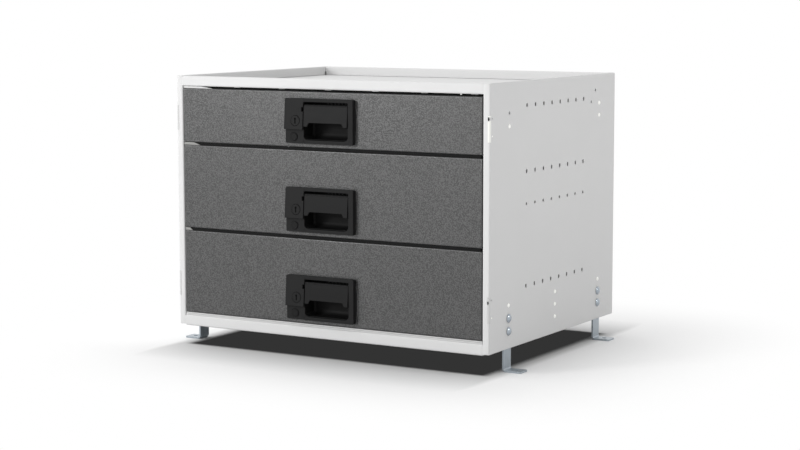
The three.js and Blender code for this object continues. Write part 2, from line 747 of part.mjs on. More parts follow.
// The whole cabinet
const keeperHeights = drawers.map((drawer) => drawer.z + handleLift + rodUp);
for (const [side, hand] of Object.entries(sides)) {
  piece("side_panel_" + side, "shell", sidePanel(hand, hand < 0 ? keeperHeights : []));
}
piece("top_tray", "shell", topTray());
piece("bottom_panel", "shell", bottomPanel());
piece("back_panel", "shell", backPanel());
for (const [side, hand] of Object.entries(sides)) {
  for (const [end, y] of Object.entries(legCentres)) {
    piece("leg_" + end + "_" + side, "zinc", legBracket(hand, y));
    piece("leg_bolt_low_" + end + "_" + side, "zinc", legBolt(hand, y, legLift + boltLow));
    piece("leg_bolt_high_" + end + "_" + side, "zinc", legBolt(hand, y, legLift + boltLow + boltPitch));
  }
}
for (const drawer of drawers) {
  for (const [side, hand] of Object.entries(sides)) {
    const z = drawer.z + drawer.slide;
    piece("slide_fixed_" + drawer.name + "_" + side, "zinc", fixedRail(hand, z));
    piece("slide_middle_" + drawer.name + "_" + side, "zinc", middleMember(hand, z));
    piece("slide_drawer_" + drawer.name + "_" + side, "zinc", drawerMember(hand, z));
  }
  piece("drawer_front_" + drawer.name, "front", drawerFront(drawer.z, drawer.front));
  piece("drawer_box_" + drawer.name, "box", drawerBox(drawer.z, drawer.box));
  piece("handle_housing_" + drawer.name, "plastic", handleHousing(drawer.z));
  piece("handle_paddle_" + drawer.name, "plastic", paddle(drawer.z));
  piece("lock_cylinder_" + drawer.name, "zinc", lockCylinder(drawer.z));
  piece("push_button_" + drawer.name, "plastic", pushButton(drawer.z));
  piece("latch_rod_" + drawer.name, "zinc", latchRod(drawer.z));
}

export default cabinet;
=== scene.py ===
"""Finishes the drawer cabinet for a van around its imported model, and sets it in a plain pale studio.

Lengths are metres. X runs to the right, Y to the back and Z up, with the floor at zero.
A shape is a pair: an array of points and a list of faces that number them.
"""

import json
import math

import bmesh
import bpy
import numpy as np
from bpy.props import FloatProperty, FloatVectorProperty, IntProperty, PointerProperty
from mathutils import Matrix, Vector


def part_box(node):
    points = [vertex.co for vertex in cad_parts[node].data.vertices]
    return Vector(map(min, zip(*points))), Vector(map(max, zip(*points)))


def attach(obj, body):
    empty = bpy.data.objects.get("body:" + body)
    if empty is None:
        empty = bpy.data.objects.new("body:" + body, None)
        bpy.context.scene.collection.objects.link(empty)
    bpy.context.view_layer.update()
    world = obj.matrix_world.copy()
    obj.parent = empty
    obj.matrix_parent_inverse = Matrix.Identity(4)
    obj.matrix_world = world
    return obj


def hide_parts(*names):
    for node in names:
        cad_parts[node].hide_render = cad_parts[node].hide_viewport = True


bl_info = {
    "name": "Van drawer cabinet",
    "version": (1, 0, 0),
    "blender": (4, 5, 0),
    "location": "View3D > Sidebar > Drawers",
    "description": "Finishes and lights a steel drawer cabinet with latching handles",
    "category": "Object",
}

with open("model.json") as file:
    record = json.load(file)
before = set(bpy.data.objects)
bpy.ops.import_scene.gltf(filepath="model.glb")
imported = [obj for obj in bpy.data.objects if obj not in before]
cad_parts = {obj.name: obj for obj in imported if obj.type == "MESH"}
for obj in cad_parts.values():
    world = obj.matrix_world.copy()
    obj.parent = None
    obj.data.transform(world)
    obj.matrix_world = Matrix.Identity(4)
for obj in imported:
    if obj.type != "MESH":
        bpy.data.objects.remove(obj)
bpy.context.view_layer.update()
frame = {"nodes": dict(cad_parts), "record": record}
BODY_OF = {node: body for body, nodes in frame["record"]["behaviour"]["bodies"].items() for node in nodes}

MM = 0.001
X, Y, Z = range(3)
DRAWERS = ("bottom", "middle", "top")
SIDES = {"left": -1, "right": 1}  # and the way along X that leads outwards there
ENDS = ("front", "rear")
MERGED = 1e-6  # points closer than this are one
FLAT = math.radians(0.5)  # faces that meet within this angle are made one
CREASE = math.radians(38)  # edges sharper than this stay crisp
# A clip's lower end above the floor, and the gap between its strips above that end, in millimetres.
CLIPS = {"low": (90, 32.5, 37.5), "high": (390, 35.5, 41.5)}
CLIP_LENGTH = 44 * MM
SKIRT = (16.4 * MM, 9.9 * MM)  # lower and upper edge of the rims' skirts, below the rims' tops


# ---------------------------------------------------------------- shapes


def corners(node):
    """Lowest and highest corner of a CAD node, as arrays."""
    low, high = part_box(node)
    return np.array(low), np.array(high)


def middle(node):
    """Middle of a CAD node's box."""
    low, high = corners(node)
    return (low + high) / 2


def grid(points, closed=(False, False)):
    """Shape of a grid of points (rows, columns, 3): each face joins four neighbours."""
    rows, columns = points.shape[:2]
    index = np.arange(rows * columns).reshape(rows, columns)
    if closed[0]:
        index = np.concatenate([index, index[:1]])
    if closed[1]:
        index = np.concatenate([index, index[:, :1]], axis=1)
    faces = np.stack([index[:-1, :-1], index[1:, :-1], index[1:, 1:], index[:-1, 1:]], axis=-1)
    return points.reshape(-1, 3), faces.reshape(-1, 4).tolist()


def together(*shapes):
    """Several shapes as one."""
    firsts = np.cumsum([0] + [len(points) for points, _ in shapes])
    faces = [[int(i + first) for i in face] for first, (_, own) in zip(firsts, shapes) for face in own]
    return np.concatenate([points for points, _ in shapes]), faces


def around(steps):
    """Angles of a full turn in equal steps, from zero."""
    return np.linspace(0, 2 * math.pi, steps, endpoint=False)


def spun(along, radius, centre, axis, loop):
    """Shape of points (rows, steps) given by their place along an axis and their radius from it: each row goes
    once round the axis. A loop also joins the last row to the first."""
    angle = around(radius.shape[1])
    across = [other for other in range(3) if other != axis]
    points = np.zeros((*radius.shape, 3))
    points[..., axis] = along
    points[..., across[0]] = radius * np.cos(angle)
    points[..., across[1]] = radius * np.sin(angle)
    return grid(points + centre, (loop, True))


def turned(profile, centre, axis, steps, loop=False):
    """Spins a profile of (place along the axis, radius): each point goes round a circle of its radius. A loop
    is a closed profile, which makes a ring."""
    profile = np.asarray(profile, float)
    along, radius = (np.repeat(column[:, None], steps, axis=1) for column in profile.T)
    return spun(along, radius, centre, axis, loop)


def prism(outline, axis, start, end):
    """Carries a closed outline, given across the axis, from start to end along it, and closes both ends."""
    ring = np.insert(np.asarray(outline, float), axis, 0, axis=1)
    ends = np.stack([ring, ring])
    ends[0, :, axis] = start
    ends[1, :, axis] = end
    points, faces = grid(ends, (False, True))
    count = len(ring)
    return points, faces + [list(range(count)), list(range(2 * count - 1, count - 1, -1))]


def brick(low, high):
    """Box between two corners."""
    outline = [(low[X], low[Y]), (high[X], low[Y]), (high[X], high[Y]), (low[X], high[Y])]
    return prism(outline, Z, low[Z], high[Z])


def ball_of(centre, radius, rows=6, steps=8):
    """A ball: rings of radius times the sine of the angle from its upper pole."""
    angle = np.linspace(0, math.pi, rows + 1)
    return turned(np.stack([radius * np.cos(angle), radius * np.sin(angle)], axis=1), centre, Z, steps)


def many(shape, places):
    """Copies of one shape, moved by each of the places."""
    points, faces = shape
    places = np.asarray(places, float)
    moved = (points + places[:, None]).reshape(-1, 3)
    shift = np.arange(len(places)) * len(points)
    return moved, [[int(i + first) for i in face] for first in shift for face in faces]


def arc(along, radius, size, start, end, steps):
    """Rows of a turned profile on a small circle round (along, radius), by angle from the axis, in degrees."""
    angle = np.radians(np.linspace(start, end, steps + 1))
    return np.stack([along + size * np.cos(angle), radius + size * np.sin(angle)], axis=1)


def cap(radius, rise, steps):
    """Rows of a turned profile over a cap of a sphere, from the rim to the pole. The sphere's radius is
    (rim squared + rise squared) / (2 rise), and the rim's plane is at zero."""
    ball = (radius ** 2 + rise ** 2) / (2 * rise)
    turn = np.linspace(math.asin(min(radius / ball, 1)), 0, steps)
    return np.stack([rise - ball + ball * np.cos(turn), ball * np.sin(turn)], axis=1)


def domed(centre, axis, hand, radius, rise, stem, reach):
    """A domed cap on a stem that reaches back from it. It looks along an axis, or against it where hand is
    -1."""
    profile = np.concatenate([[(-reach, 0), (-reach, stem), (0, stem)], cap(radius, rise, steps=8)])
    profile[:, 0] *= hand
    return turned(profile, centre, axis, steps=20)


def hexagon_nut(centre, axis, flats, height, bore, direction, steps=72):
    """A nut with its corners turned off: at each angle the rim lies at half the width across flats over the
    cosine of the angle from the nearest flat's middle, and past the flats' own circle the faces fall by 30
    degrees."""
    angle, sixth = around(steps), math.pi / 3
    inner = flats / 2
    rim = inner / np.cos((angle + sixth / 2) % sixth - sixth / 2)
    fall = np.maximum(rim - inner, 0) * math.tan(math.radians(30))
    flat, hole = np.full_like(rim, inner * 0.96), np.full_like(rim, bore / 2)
    low, high = 0 * rim, height + 0 * rim
    along = np.stack([low, low, fall, height - fall, high, high]) * direction
    return spun(along, np.stack([hole, flat, rim, rim, flat, hole]), centre, axis, True)


# ---------------------------------------------------------------- pieces


def finished(thing, edge):
    """Smooth faces between creases, with the creased edges rounded to a radius."""
    thing.data.shade_smooth()
    thing.data.set_sharp_from_angle(angle=CREASE)
    if edge:
        bevel = thing.modifiers.new("Edges", "BEVEL")
        bevel.width = edge
        bevel.segments = 2
        bevel.limit_method = "ANGLE"
        bevel.angle_limit = CREASE
        bevel.use_clamp_overlap = False
    weighted = thing.modifiers.new("Flat faces stay flat", "WEIGHTED_NORMAL")
    weighted.keep_sharp = not edge


def placed(name, mesh, body, material, edge, replaces=()):
    """An object for a finished mesh, riding on its body."""
    mesh.materials.clear()
    mesh.materials.append(material)
    thing = bpy.data.objects.new(name, mesh)
    bpy.context.scene.collection.objects.link(thing)
    finished(thing, edge)
    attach(thing, body)
    if replaces:
        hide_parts(*replaces)
    return thing


def mesh_of(name, shape):
    """A mesh from a shape: its doubles merged and its faces turned outwards."""
    points, faces = shape
    mesh = bpy.data.meshes.new(name)
    mesh.from_pydata(points.tolist(), [], faces)
    work = bmesh.new()
    work.from_mesh(mesh)
    bmesh.ops.remove_doubles(work, verts=work.verts, dist=MERGED)
    bmesh.ops.recalc_face_normals(work, faces=work.faces)
    work.to_mesh(mesh)
    work.free()
    return mesh


def made(name, shape, body, material, edge=0.0, replaces=()):
    """A new piece from a shape."""
    return placed(name, mesh_of(name, shape), body, material, edge, replaces)


def softened(node, material, edge, single=True, clamped=False):
    """A CAD node's copy with flat areas made single faces and every crease rounded. It stands for the node. A
    node whose flat areas run round a deep opening keeps its triangles, as a single face would close it. Where
    creases meet in a narrow angle the rounding is clamped, as its corners would run out into spikes."""
    mesh = frame["nodes"][node].data.copy()
    mesh.name = node + "_finished"
    work = bmesh.new()
    work.from_mesh(mesh)
    bmesh.ops.remove_doubles(work, verts=work.verts, dist=MERGED)
    if single:
        bmesh.ops.dissolve_limit(work, angle_limit=FLAT, verts=work.verts, edges=work.edges)
    work.to_mesh(mesh)
    work.free()
    piece = placed(node + "_finished", mesh, BODY_OF[node], material, edge, (node,))
    piece.modifiers["Edges"].use_clamp_overlap = clamped


# ---------------------------------------------------------------- finishes


class Value:
    """A node's output. Sums and products on it add Math nodes."""

    def __init__(self, paint, socket):
        self.paint = paint
        self.socket = socket

    def __add__(self, other):
        return self.paint.maths("ADD", self, other)

    def __sub__(self, other):
        return self.paint.maths("SUBTRACT", self, other)

    def __rsub__(self, other):
        return self.paint.maths("SUBTRACT", other, self)

    def __mul__(self, other):
        return self.paint.maths("MULTIPLY", self, other)

    def __truediv__(self, other):
        return self.paint.maths("DIVIDE", self, other)

    __radd__ = __add__
    __rmul__ = __mul__

    def about(self, share):
        """A noise, whose middle is one half, moved to lie about zero and scaled to a share."""
        return (self - 0.5) * share

    def between(self, low, high):
        """Zero below low, one above high and smooth between them."""
        return self.paint.node("ShaderNodeMapRange", {"interpolation_type": "SMOOTHSTEP"},
                               {"Value": self, "From Min": low, "From Max": high})


class Paint:
    """A node tree of a material or of the world, and the ways of adding to it."""

    def __init__(self, owner):
        owner.use_nodes = True
        self.owner = owner
        self.tree = owner.node_tree
        self.tree.nodes.clear()

    def node(self, kind, settings=None, inputs=None, output=0):
        """Adds a node with its settings, then the values or links of its sockets."""
        added = self.tree.nodes.new(kind)
        for key, value in (settings or {}).items():
            setattr(added, key, value)
        for key, value in (inputs or {}).items():
            if isinstance(value, Value):
                self.tree.links.new(value.socket, added.inputs[key])
            else:
                added.inputs[key].default_value = value
        return Value(self, added.outputs[output]) if len(added.outputs) else None

    def maths(self, operation, *values):
        """Adds a Math node."""
        return self.node("ShaderNodeMath", {"operation": operation}, dict(enumerate(values)))

    def place(self):
        """Place on the cabinet, in metres."""
        return self.node("ShaderNodeTexCoord", output="Object")

    def noise(self, scale, detail=2.0, stretch=(1, 1, 1)):
        """Cloudy noise about one half, with so many swells to the metre."""
        where = self.node("ShaderNodeMapping", {}, {"Vector": self.place(), "Scale": stretch})
        return self.node("ShaderNodeTexNoise", {}, {"Vector": where, "Scale": scale, "Detail": detail})

    def shaded(self, colour, amount):
        """A colour times a value."""
        return self.node("ShaderNodeVectorMath", {"operation": "SCALE"}, {0: tuple(colour), "Scale": amount})

    def bump(self, height, depth):
        """Normal of a surface raised by the height times the depth."""
        return self.node("ShaderNodeBump", {}, {"Height": height, "Distance": depth, "Strength": 1.0})

    def surface(self, inputs):
        """The shader and the output."""
        shader = self.node("ShaderNodeBsdfPrincipled", {}, inputs)
        self.node("ShaderNodeOutputMaterial", {}, {"Surface": shader})
        return self.owner


def material(name):
    """The node tree of a new material."""
    return Paint(bpy.data.materials.new(name))


def smooth_coat(name, finish, colour=None, painted_glow=0.0):
    """Satin powder coat: a fine orange peel, and faint swells of tone and gloss. Where a glow is given, a
    painted glow in the coat's own colour lights the surface, which is no lamp, as on the pale plugs."""
    paint = material(name)
    colour = colour or finish.colour
    peel = paint.noise(1 / finish.peel, 3)
    swell = paint.noise(14, 3)
    tone = 1 + swell.about(finish.swell) + peel.about(finish.swell / 2)
    return paint.surface({
        "Base Color": paint.shaded(colour, tone),
        "Roughness": finish.roughness + paint.noise(60).about(0.1),
        "Normal": paint.bump(peel, finish.depth),
        "Specular IOR Level": finish.sheen,
        # painted glow: an emission in the coat's own colour, at the given strength
        "Emission Color": (*colour[:3], 1),
        "Emission Strength": painted_glow,
    })


def textured_coat(name, finish, colour=None):
    """Dark structured powder coat: crisp worm-like grains with fine ones on them, which also carry the tone."""
    paint = material(name)
    worm = paint.noise(1 / finish.grain, 1.5).between(0.43, 0.57)
    fine = paint.noise(3.1 / finish.grain)
    height = worm * 0.6 + fine * 0.4
    tone = 1 + worm.about(finish.mottle) + fine.about(finish.mottle) + paint.noise(9).about(0.04)
    return paint.surface({
        "Base Color": paint.shaded(colour or finish.colour, tone),
        "Metallic": finish.metallic,
        "Roughness": finish.roughness + fine.about(0.15),
        "Normal": paint.bump(height, finish.depth),
    })


def plated(name, finish):
    """Zinc plate: cloudy tone and gloss, and faint drawing lines along one way, which are also its grain."""
    paint = material(name)
    cloud = paint.noise(1 / finish.cloud, 4)
    lines = paint.noise(900, 2, finish.lines)
    tone = 1 + cloud.about(finish.clouds) + lines.about(0.12)
    return paint.surface({
        "Base Color": paint.shaded(finish.colour, tone),
        "Metallic": finish.metallic,
        "Roughness": finish.roughness + cloud.about(finish.clouds / 2) + lines.about(0.1),
        "Normal": paint.bump(lines, 0.02 * MM),
    })


def moulded(name, finish, colour=None):
    """Moulded plastic: a spark-eroded grain and the faint swirl of its glass fibre."""
    paint = material(name)
    grain = paint.noise(1 / finish.grain)
    swirl = paint.noise(70, 4, (1, 1, 2.4))
    tone = 1 + swirl.about(0.35) + grain.about(0.5)
    return paint.surface({
        "Base Color": paint.shaded(colour or finish.colour, tone),
        "Roughness": finish.roughness + swirl.about(0.16),
        "Specular IOR Level": finish.specular,
        "Normal": paint.bump(grain, finish.depth),
    })


def dark_matt(name, colour, sheen):
    """A dark matt with a dusty grain and a low sheen, so that the painted shade mirrors nothing. It serves the
    painted shade in gaps, key slots and behind holes, and the clips' dark screws.
    """
    paint = material(name)
    grain = paint.noise(900)
    return paint.surface({
        "Base Color": paint.shaded(colour, 1 + grain.about(0.4) + paint.noise(45, 3).about(0.2)),
        "Roughness": 0.72 + grain.about(0.2),
        "Normal": paint.bump(grain, 0.02 * MM),
        "Specular IOR Level": sheen,
    })


# ---------------------------------------------------------------- settings


def colour_property(name, description, default):
    """A colour."""
    return FloatVectorProperty(name=name, description=description, default=default, size=3, min=0, max=1,
                               subtype="COLOR")


def length_property(name, description, millimetres):
    """A length, given in millimetres and kept in metres."""
    return FloatProperty(name=name, description=description, default=millimetres * MM, min=0, precision=5,
                         subtype="DISTANCE", unit="LENGTH")


def share_property(name, description, default, top=1.0):
    """A share, from zero to the top."""
    return FloatProperty(name=name, description=description, default=default, min=0, max=top)


def number_property(name, description, default, unit="NONE"):
    """A plain number, with its unit where it has one."""
    return FloatProperty(name=name, description=description, default=default, unit=unit)


def lines_property(description, default):
    """Stretch of the drawing lines along each axis."""
    return FloatVectorProperty(name="Lines", description=description, default=default)


class ShellFinish(bpy.types.PropertyGroup):
    """Powder coat of the shell panels."""

    colour: colour_property("Colour", "Colour of the coat", (0.742, 0.742, 0.741))
    roughness: share_property("Roughness", "How matt the coat is", 0.5)
    peel: length_property("Orange peel", "Width of one swell of the orange peel", 1.4)
    depth: length_property("Peel depth", "Height of the orange peel", 0.01)
    swell: share_property("Swell", "How far the tone drifts over a panel", 0.03)
    sheen: share_property("Sheen", "How strongly the coat mirrors", 0.15)
    edge: length_property("Edge radius", "Radius of the sheet's cut edges under the coat", 0.25)


class FrontFinish(bpy.types.PropertyGroup):
    """Structured coat of the drawer fronts."""

    colour: colour_property("Colour", "Colour of the coat", (0.098, 0.098, 0.098))
    roughness: share_property("Roughness", "How matt the coat is", 0.37)
    metallic: share_property("Metal flake", "How much the pigment mirrors", 0.85)
    grain: length_property("Grain", "Width of one grain of the structure", 1.7)
    mottle: share_property("Mottle", "How far the grains differ in tone", 0.5, 4.0)
    depth: length_property("Grain depth", "Height of the grains", 0.12)
    edge: length_property("Edge radius", "Radius added to the folded edges", 0.3)


class BoxFinish(bpy.types.PropertyGroup):
    """Powder coat of the drawer boxes."""

    colour: colour_property("Colour", "Colour of the coat", (0.42, 0.42, 0.43))
    roughness: share_property("Roughness", "How matt the coat is", 0.45)
    peel: length_property("Orange peel", "Width of one swell of the orange peel", 1.6)
    depth: length_property("Peel depth", "Height of the orange peel", 0.012)
    swell: share_property("Swell", "How far the tone drifts over a wall", 0.05)
    sheen: share_property("Sheen", "How strongly the coat mirrors", 0.3)
    edge: length_property("Edge radius", "Radius of the hemmed edges", 0.35)


class LegFinish(bpy.types.PropertyGroup):
    """Blue-passivated zinc of the legs."""

    colour: colour_property("Colour", "Colour of the plate", (0.39, 0.435, 0.475))
    metallic: share_property("Metal", "How much the plate mirrors", 0.5)
    roughness: share_property("Roughness", "How matt the plate is", 0.3)
    cloud: length_property("Cloud", "Width of one cloud in the plate", 12)
    clouds: share_property("Clouds", "How far the clouds differ in tone", 0.16)
    lines: lines_property("Stretch of the drawing lines", (1, 1, 0.03))
    edge: length_property("Edge radius", "Radius of the legs' edges", 0.4)


class BoltFinish(bpy.types.PropertyGroup):
    """Bright zinc of the legs' bolts and nuts."""

    colour: colour_property("Colour", "Colour of the plate", (0.37, 0.41, 0.45))
    metallic: share_property("Metal", "How much the plate mirrors", 1.0)
    roughness: share_property("Roughness", "How matt the plate is", 0.2)
    cloud: length_property("Cloud", "Width of one cloud in the plate", 6)
    clouds: share_property("Clouds", "How far the clouds differ in tone", 0.12)
    lines: lines_property("Stretch of the turning lines", (1, 1, 1))
    head: length_property("Bolt head", "Radius of a bolt's domed head", 7.5)
    flats: length_property("Nut", "Width of a nut across its flats", 12.6)


class SlideFinish(bpy.types.PropertyGroup):
    """Bright zinc of the telescopic slides, the latch rods and the boxes' rivets."""

    colour: colour_property("Colour", "Colour of the plate", (0.6, 0.62, 0.63))
    metallic: share_property("Metal", "How much the plate mirrors", 1.0)
    roughness: share_property("Roughness", "How matt the plate is", 0.24)
    cloud: length_property("Cloud", "Width of one cloud in the plate", 30)
    clouds: share_property("Clouds", "How far the clouds differ in tone", 0.3)
    lines: lines_property("Stretch of the rolling lines", (1, 0.02, 1))
    edge: length_property("Edge radius", "Radius of the sections' cut edges", 0.2)
    balls: IntProperty(name="Balls", description="Balls in one run of a cage", default=9, min=2)


class HandleFinish(bpy.types.PropertyGroup):
    """Black nylon of the handle housings, and what lies in and behind them: the painted shade in the cups,
    gaps and key slots, and the painted shadow beside the bezel.
    """

    colour: colour_property("Colour", "Colour of the nylon", (0.0125, 0.0125, 0.0127))
    # painted shade: a darker copy of the nylon, in the cup, at its ends and on the ribs
    cup: colour_property("Cup", "Colour of the cup's lining", (0.007, 0.007, 0.007))
    # painted shadow of the handle, beside the bezel's right edge
    gasket: colour_property("Gasket", "Colour of the gasket behind the bezel", (0.13, 0.13, 0.13))
    # painted shade in the gaps round the locks, in the key slots and behind the holes
    void: colour_property("Void", "Colour in the dark gaps, key slots and holes", (0.004, 0.004, 0.004))
    roughness: share_property("Roughness", "How matt the nylon is", 0.58)
    specular: share_property("Sheen", "How strongly the nylon mirrors", 0.15)
    grain: length_property("Grain", "Width of one grain of the mould's texture", 0.8)
    depth: length_property("Grain depth", "Height of the grain", 0.03)
    edge: length_property("Edge radius", "Radius of the moulded edges", 0.5)
    scoop: length_property("Scoop radius", "Radius in the corners of the finger cup", 10)
    # reach of the painted shadow past the bezel's right edge
    bulge: length_property("Bulge", "How far the gasket shows past the bezel's right edge", 2.4)
    ribs: IntProperty(name="Ribs", description="Ribs above the paddle", default=6, min=1)
    rib_pitch: length_property("Rib pitch", "From one rib to the next", 7.3)


class PaddleFinish(bpy.types.PropertyGroup):
    """Black plastic of the paddles and push buttons."""

    colour: colour_property("Colour", "Colour of the plastic", (0.0105, 0.0105, 0.0107))
    roughness: share_property("Roughness", "How matt the plastic is", 0.5)
    specular: share_property("Sheen", "How strongly the plastic mirrors", 0.13)
    grain: length_property("Grain", "Width of one grain of the mould's texture", 0.6)
    depth: length_property("Grain depth", "Height of the grain", 0.015)
    edge: length_property("Edge radius", "Radius of the paddle's edges", 0.4)


class LockFinish(bpy.types.PropertyGroup):
    """Black die-cast metal of the lock cylinders."""

    colour: colour_property("Colour", "Colour of the cylinder", (0.013, 0.013, 0.0132))
    roughness: share_property("Roughness", "How matt the cylinder is", 0.5)
    specular: share_property("Sheen", "How strongly the cylinder mirrors", 0.15)
    grain: length_property("Grain", "Width of one grain of the casting", 0.5)
    depth: length_property("Grain depth", "Height of the grain", 0.01)


class FittingFinish(bpy.types.PropertyGroup):
    """Pale plastic of the plugs and clips, the plugs' painted glow, the painted light and shade in the gaps,
    and the dark of the clips' screws.
    """

    colour: colour_property("Colour", "Colour of the plastic", (0.97, 0.97, 0.93))
    # also the painted light in the top gap and on the bottom ledge
    grey: colour_property("Grey", "Colour of the grey strips and the top buffer", (0.66, 0.66, 0.657))
    roughness: share_property("Roughness", "How matt the plastic is", 0.4)
    peel: length_property("Orange peel", "Width of one swell of the surface", 0.9)
    depth: length_property("Peel depth", "Height of the swells", 0.006)
    swell: share_property("Swell", "How far the tone drifts", 0.04)
    sheen: share_property("Sheen", "How strongly the plastic mirrors", 0.4)
    # painted glow of the pale plugs, which are no lamps
    painted_glow: share_property("Glow", "How much light a clear plug lets through", 0.2)
    # painted light in the two lower gaps: the pale wedges' colour
    buffer: colour_property("Buffer", "Colour of the buffers in the two lower gaps", (0.3, 0.3, 0.29))
    # painted shade in the gaps above the fronts, and the colour of the clips' dark screws
    gap_shade_and_screws: colour_property("Seal", "Colour of the dark seals", (0.012, 0.012, 0.012))
    plug: length_property("Plug", "Radius of a plug's cap", 3.4)
    rise: length_property("Plug rise", "How far a plug's cap stands proud", 1.7)
    rivet: length_property("Rivet", "Radius of a rivet's head", 3.4)
    clip: length_property("Clip thickness", "How far a clip stands proud of the corner", 0.4)


class StageSettings(bpy.types.PropertyGroup):
    """Floor, light and camera."""

    floor: colour_property("Floor", "Colour of the floor", (0.97, 0.97, 0.97))
    level: number_property("Light", "Strength of the light from every side", 0.88)
    front: number_property("From the front", "Light added in front and lost behind", -0.1)
    left: number_property("From the left", "Light added on the left and lost on the right", 0.56)
    lamp: number_property("Lamp", "Power of the soft lamp in front, in watts", 30, "POWER")
    lamp_size: length_property("Lamp size", "Width of the soft lamp", 800)
    spark: number_property("Spark", "Power of the small lamp on the right, in watts", 4.5, "POWER")
    spark_size: length_property("Spark size", "Width of the small lamp", 220)
    # painted shade: the floor throws back less light near the cabinet
    bounce: share_property("Bounce", "Share of its light that the floor at the cabinet throws back", 0.8)
    bounce_to: length_property("Bounce reach", "Where the floor throws back all of it", 1200)
    # painted shadow: the floor's colour darkens close in front of and behind the cabinet
    near: share_property("Near floor", "How bright the floor is close in front of and behind the cabinet", 0.7)
    near_to: length_property("Near floor reach", "Where the floor has its full brightness", 140)
    fade_from: length_property("Fade from", "Distance at which the floor starts to turn white", 20)
    fade_to: length_property("Fade to", "Distance at which the floor is white", 400)
    # painted shadow: to the eye, the floor under the cabinet glows at this flat dark level
    under: share_property("Under the cabinet", "Brightness of the floor under the cabinet", 0.033)
    lens: number_property("Lens", "Focal length for a 36 mm wide image", 87.36, "CAMERA")


GROUPS = {
    "shell": ShellFinish, "fronts": FrontFinish, "boxes": BoxFinish, "legs": LegFinish, "bolts": BoltFinish,
    "slides": SlideFinish, "handles": HandleFinish, "paddles": PaddleFinish, "locks": LockFinish,
    "fittings": FittingFinish, "stage": StageSettings,
}


class DrawerCabinet(bpy.types.PropertyGroup):
    """All settings of the cabinet."""

    __annotations__ = {name: PointerProperty(type=group) for name, group in GROUPS.items()}


# ---------------------------------------------------------------- operators


class DRAWERS_OT_shell(bpy.types.Operator):
    """Finish the side panels, tray, bottom and back of the shell"""

    bl_idname = "drawers.shell"
    bl_label = "Shell"

    def execute(self, context):
        finish = context.scene.drawer_cabinet.shell
        coat = smooth_coat("shell_coat", finish)
        for node in ("side_panel_left", "side_panel_right", "top_tray", "bottom_panel", "back_panel"):
            softened(node, coat, finish.edge, clamped=node.startswith("side_panel"))
        return {"FINISHED"}


class DRAWERS_OT_fronts(bpy.types.Operator):
    """Finish the drawer fronts"""

    bl_idname = "drawers.fronts"
    bl_label = "Drawer fronts"

    def execute(self, context):
        finish = context.scene.drawer_cabinet.fronts
        coat = textured_coat("front_coat", finish)
        for drawer in DRAWERS:
            softened("drawer_front_" + drawer, coat, finish.edge)
        return {"FINISHED"}


class DRAWERS_OT_boxes(bpy.types.Operator):
    """Finish the drawer boxes"""

    bl_idname = "drawers.boxes"
    bl_label = "Drawer boxes"

    def execute(self, context):
        finish = context.scene.drawer_cabinet.boxes
        coat = smooth_coat("box_coat", finish)
        steel = plated("box_rivet_plate", context.scene.drawer_cabinet.slides)
        for drawer in DRAWERS:
            box = "drawer_box_" + drawer
            softened(box, coat, finish.edge, clamped=True)
            made("box_rivets_" + drawer, box_rivets(drawer), BODY_OF[box], steel)
        return {"FINISHED"}


def box_rivets(drawer):
    """Three domed rivets inside each wall of a box, at the height of its slides."""
    slide, wall = "slide_drawer_" + drawer + "_right", 1.5 * MM
    inner = corners(slide)[0][X] - wall
    places = [(hand, (hand * inner, along * MM, middle(slide)[Z]))
              for hand in SIDES.values() for along in (-150, 15, 180)]
    return together(*(domed(place, X, -hand, radius=3.4 * MM, rise=1.1 * MM, stem=2 * MM, reach=0.4 * MM)
                      for hand, place in places))


class DRAWERS_OT_slides(bpy.types.Operator):
    """Finish the telescopic slides"""

    bl_idname = "drawers.slides"
    bl_label = "Slides"

    def execute(self, context):
        finish = context.scene.drawer_cabinet.slides
        plate = plated("slide_plate", finish)
        for drawer in DRAWERS:
            for side in SIDES:
                for member in ("fixed", "middle", "drawer"):
                    softened(f"slide_{member}_{drawer}_{side}", plate, finish.edge)
                node = f"slide_middle_{drawer}_{side}"
                balls = ball_runs(node, finish.balls)
                made(f"slide_balls_{drawer}_{side}", balls, BODY_OF[node], plate)
        return {"FINISHED"}


def ball_runs(node, count):
    """Balls in their cages: two runs outside the middle member, over its rear half, and two inside it, over its
    front half, which are the halves that the other members still hold when the drawer is open."""
    low, high = corners(node)
    centre = (low + high) / 2
    half = (high[Z] - low[Z]) / 2
    clear, margin = 14 * MM, 6 * MM  # from the middle of the member, and from its end or the cage's
    wide, thin = 1.8 * MM, 0.25 * MM  # half width and half thickness of a cage
    runs = [(half + 1 * MM, 0.9 * MM, centre[Y] + clear, high[Y] - margin),
            (half - 3.1 * MM, 1.7 * MM, low[Y] + margin, centre[Y] - clear)]
    shapes = []
    for above, radius, start, end in runs:
        for way in (1, -1):
            height = centre[Z] + way * above
            along = np.linspace(start + margin, end - margin, count)
            shapes.append(many(ball_of((0, 0, 0), radius), [(centre[X], place, height) for place in along]))
            shapes.append(brick((centre[X] - wide, start, height - thin),
                                (centre[X] + wide, end, height + thin)))
    return together(*shapes)


class DRAWERS_OT_legs(bpy.types.Operator):
    """Finish the leg brackets and make their bolts and nuts"""

    bl_idname = "drawers.legs"
    bl_label = "Legs and bolts"

    def execute(self, context):
        settings = context.scene.drawer_cabinet
        plate = plated("leg_plate", settings.legs)
        bright = plated("bolt_plate", settings.bolts)
        for side, hand in SIDES.items():
            for end in ENDS:
                softened(f"leg_{end}_{side}", plate, settings.legs.edge)
                for height in ("low", "high"):
                    node = f"leg_bolt_{height}_{end}_{side}"
                    bolt = leg_bolt(node, hand, settings.bolts)
                    made(node + "_finished", bolt, BODY_OF[node], bright, replaces=(node,))
        return {"FINISHED"}


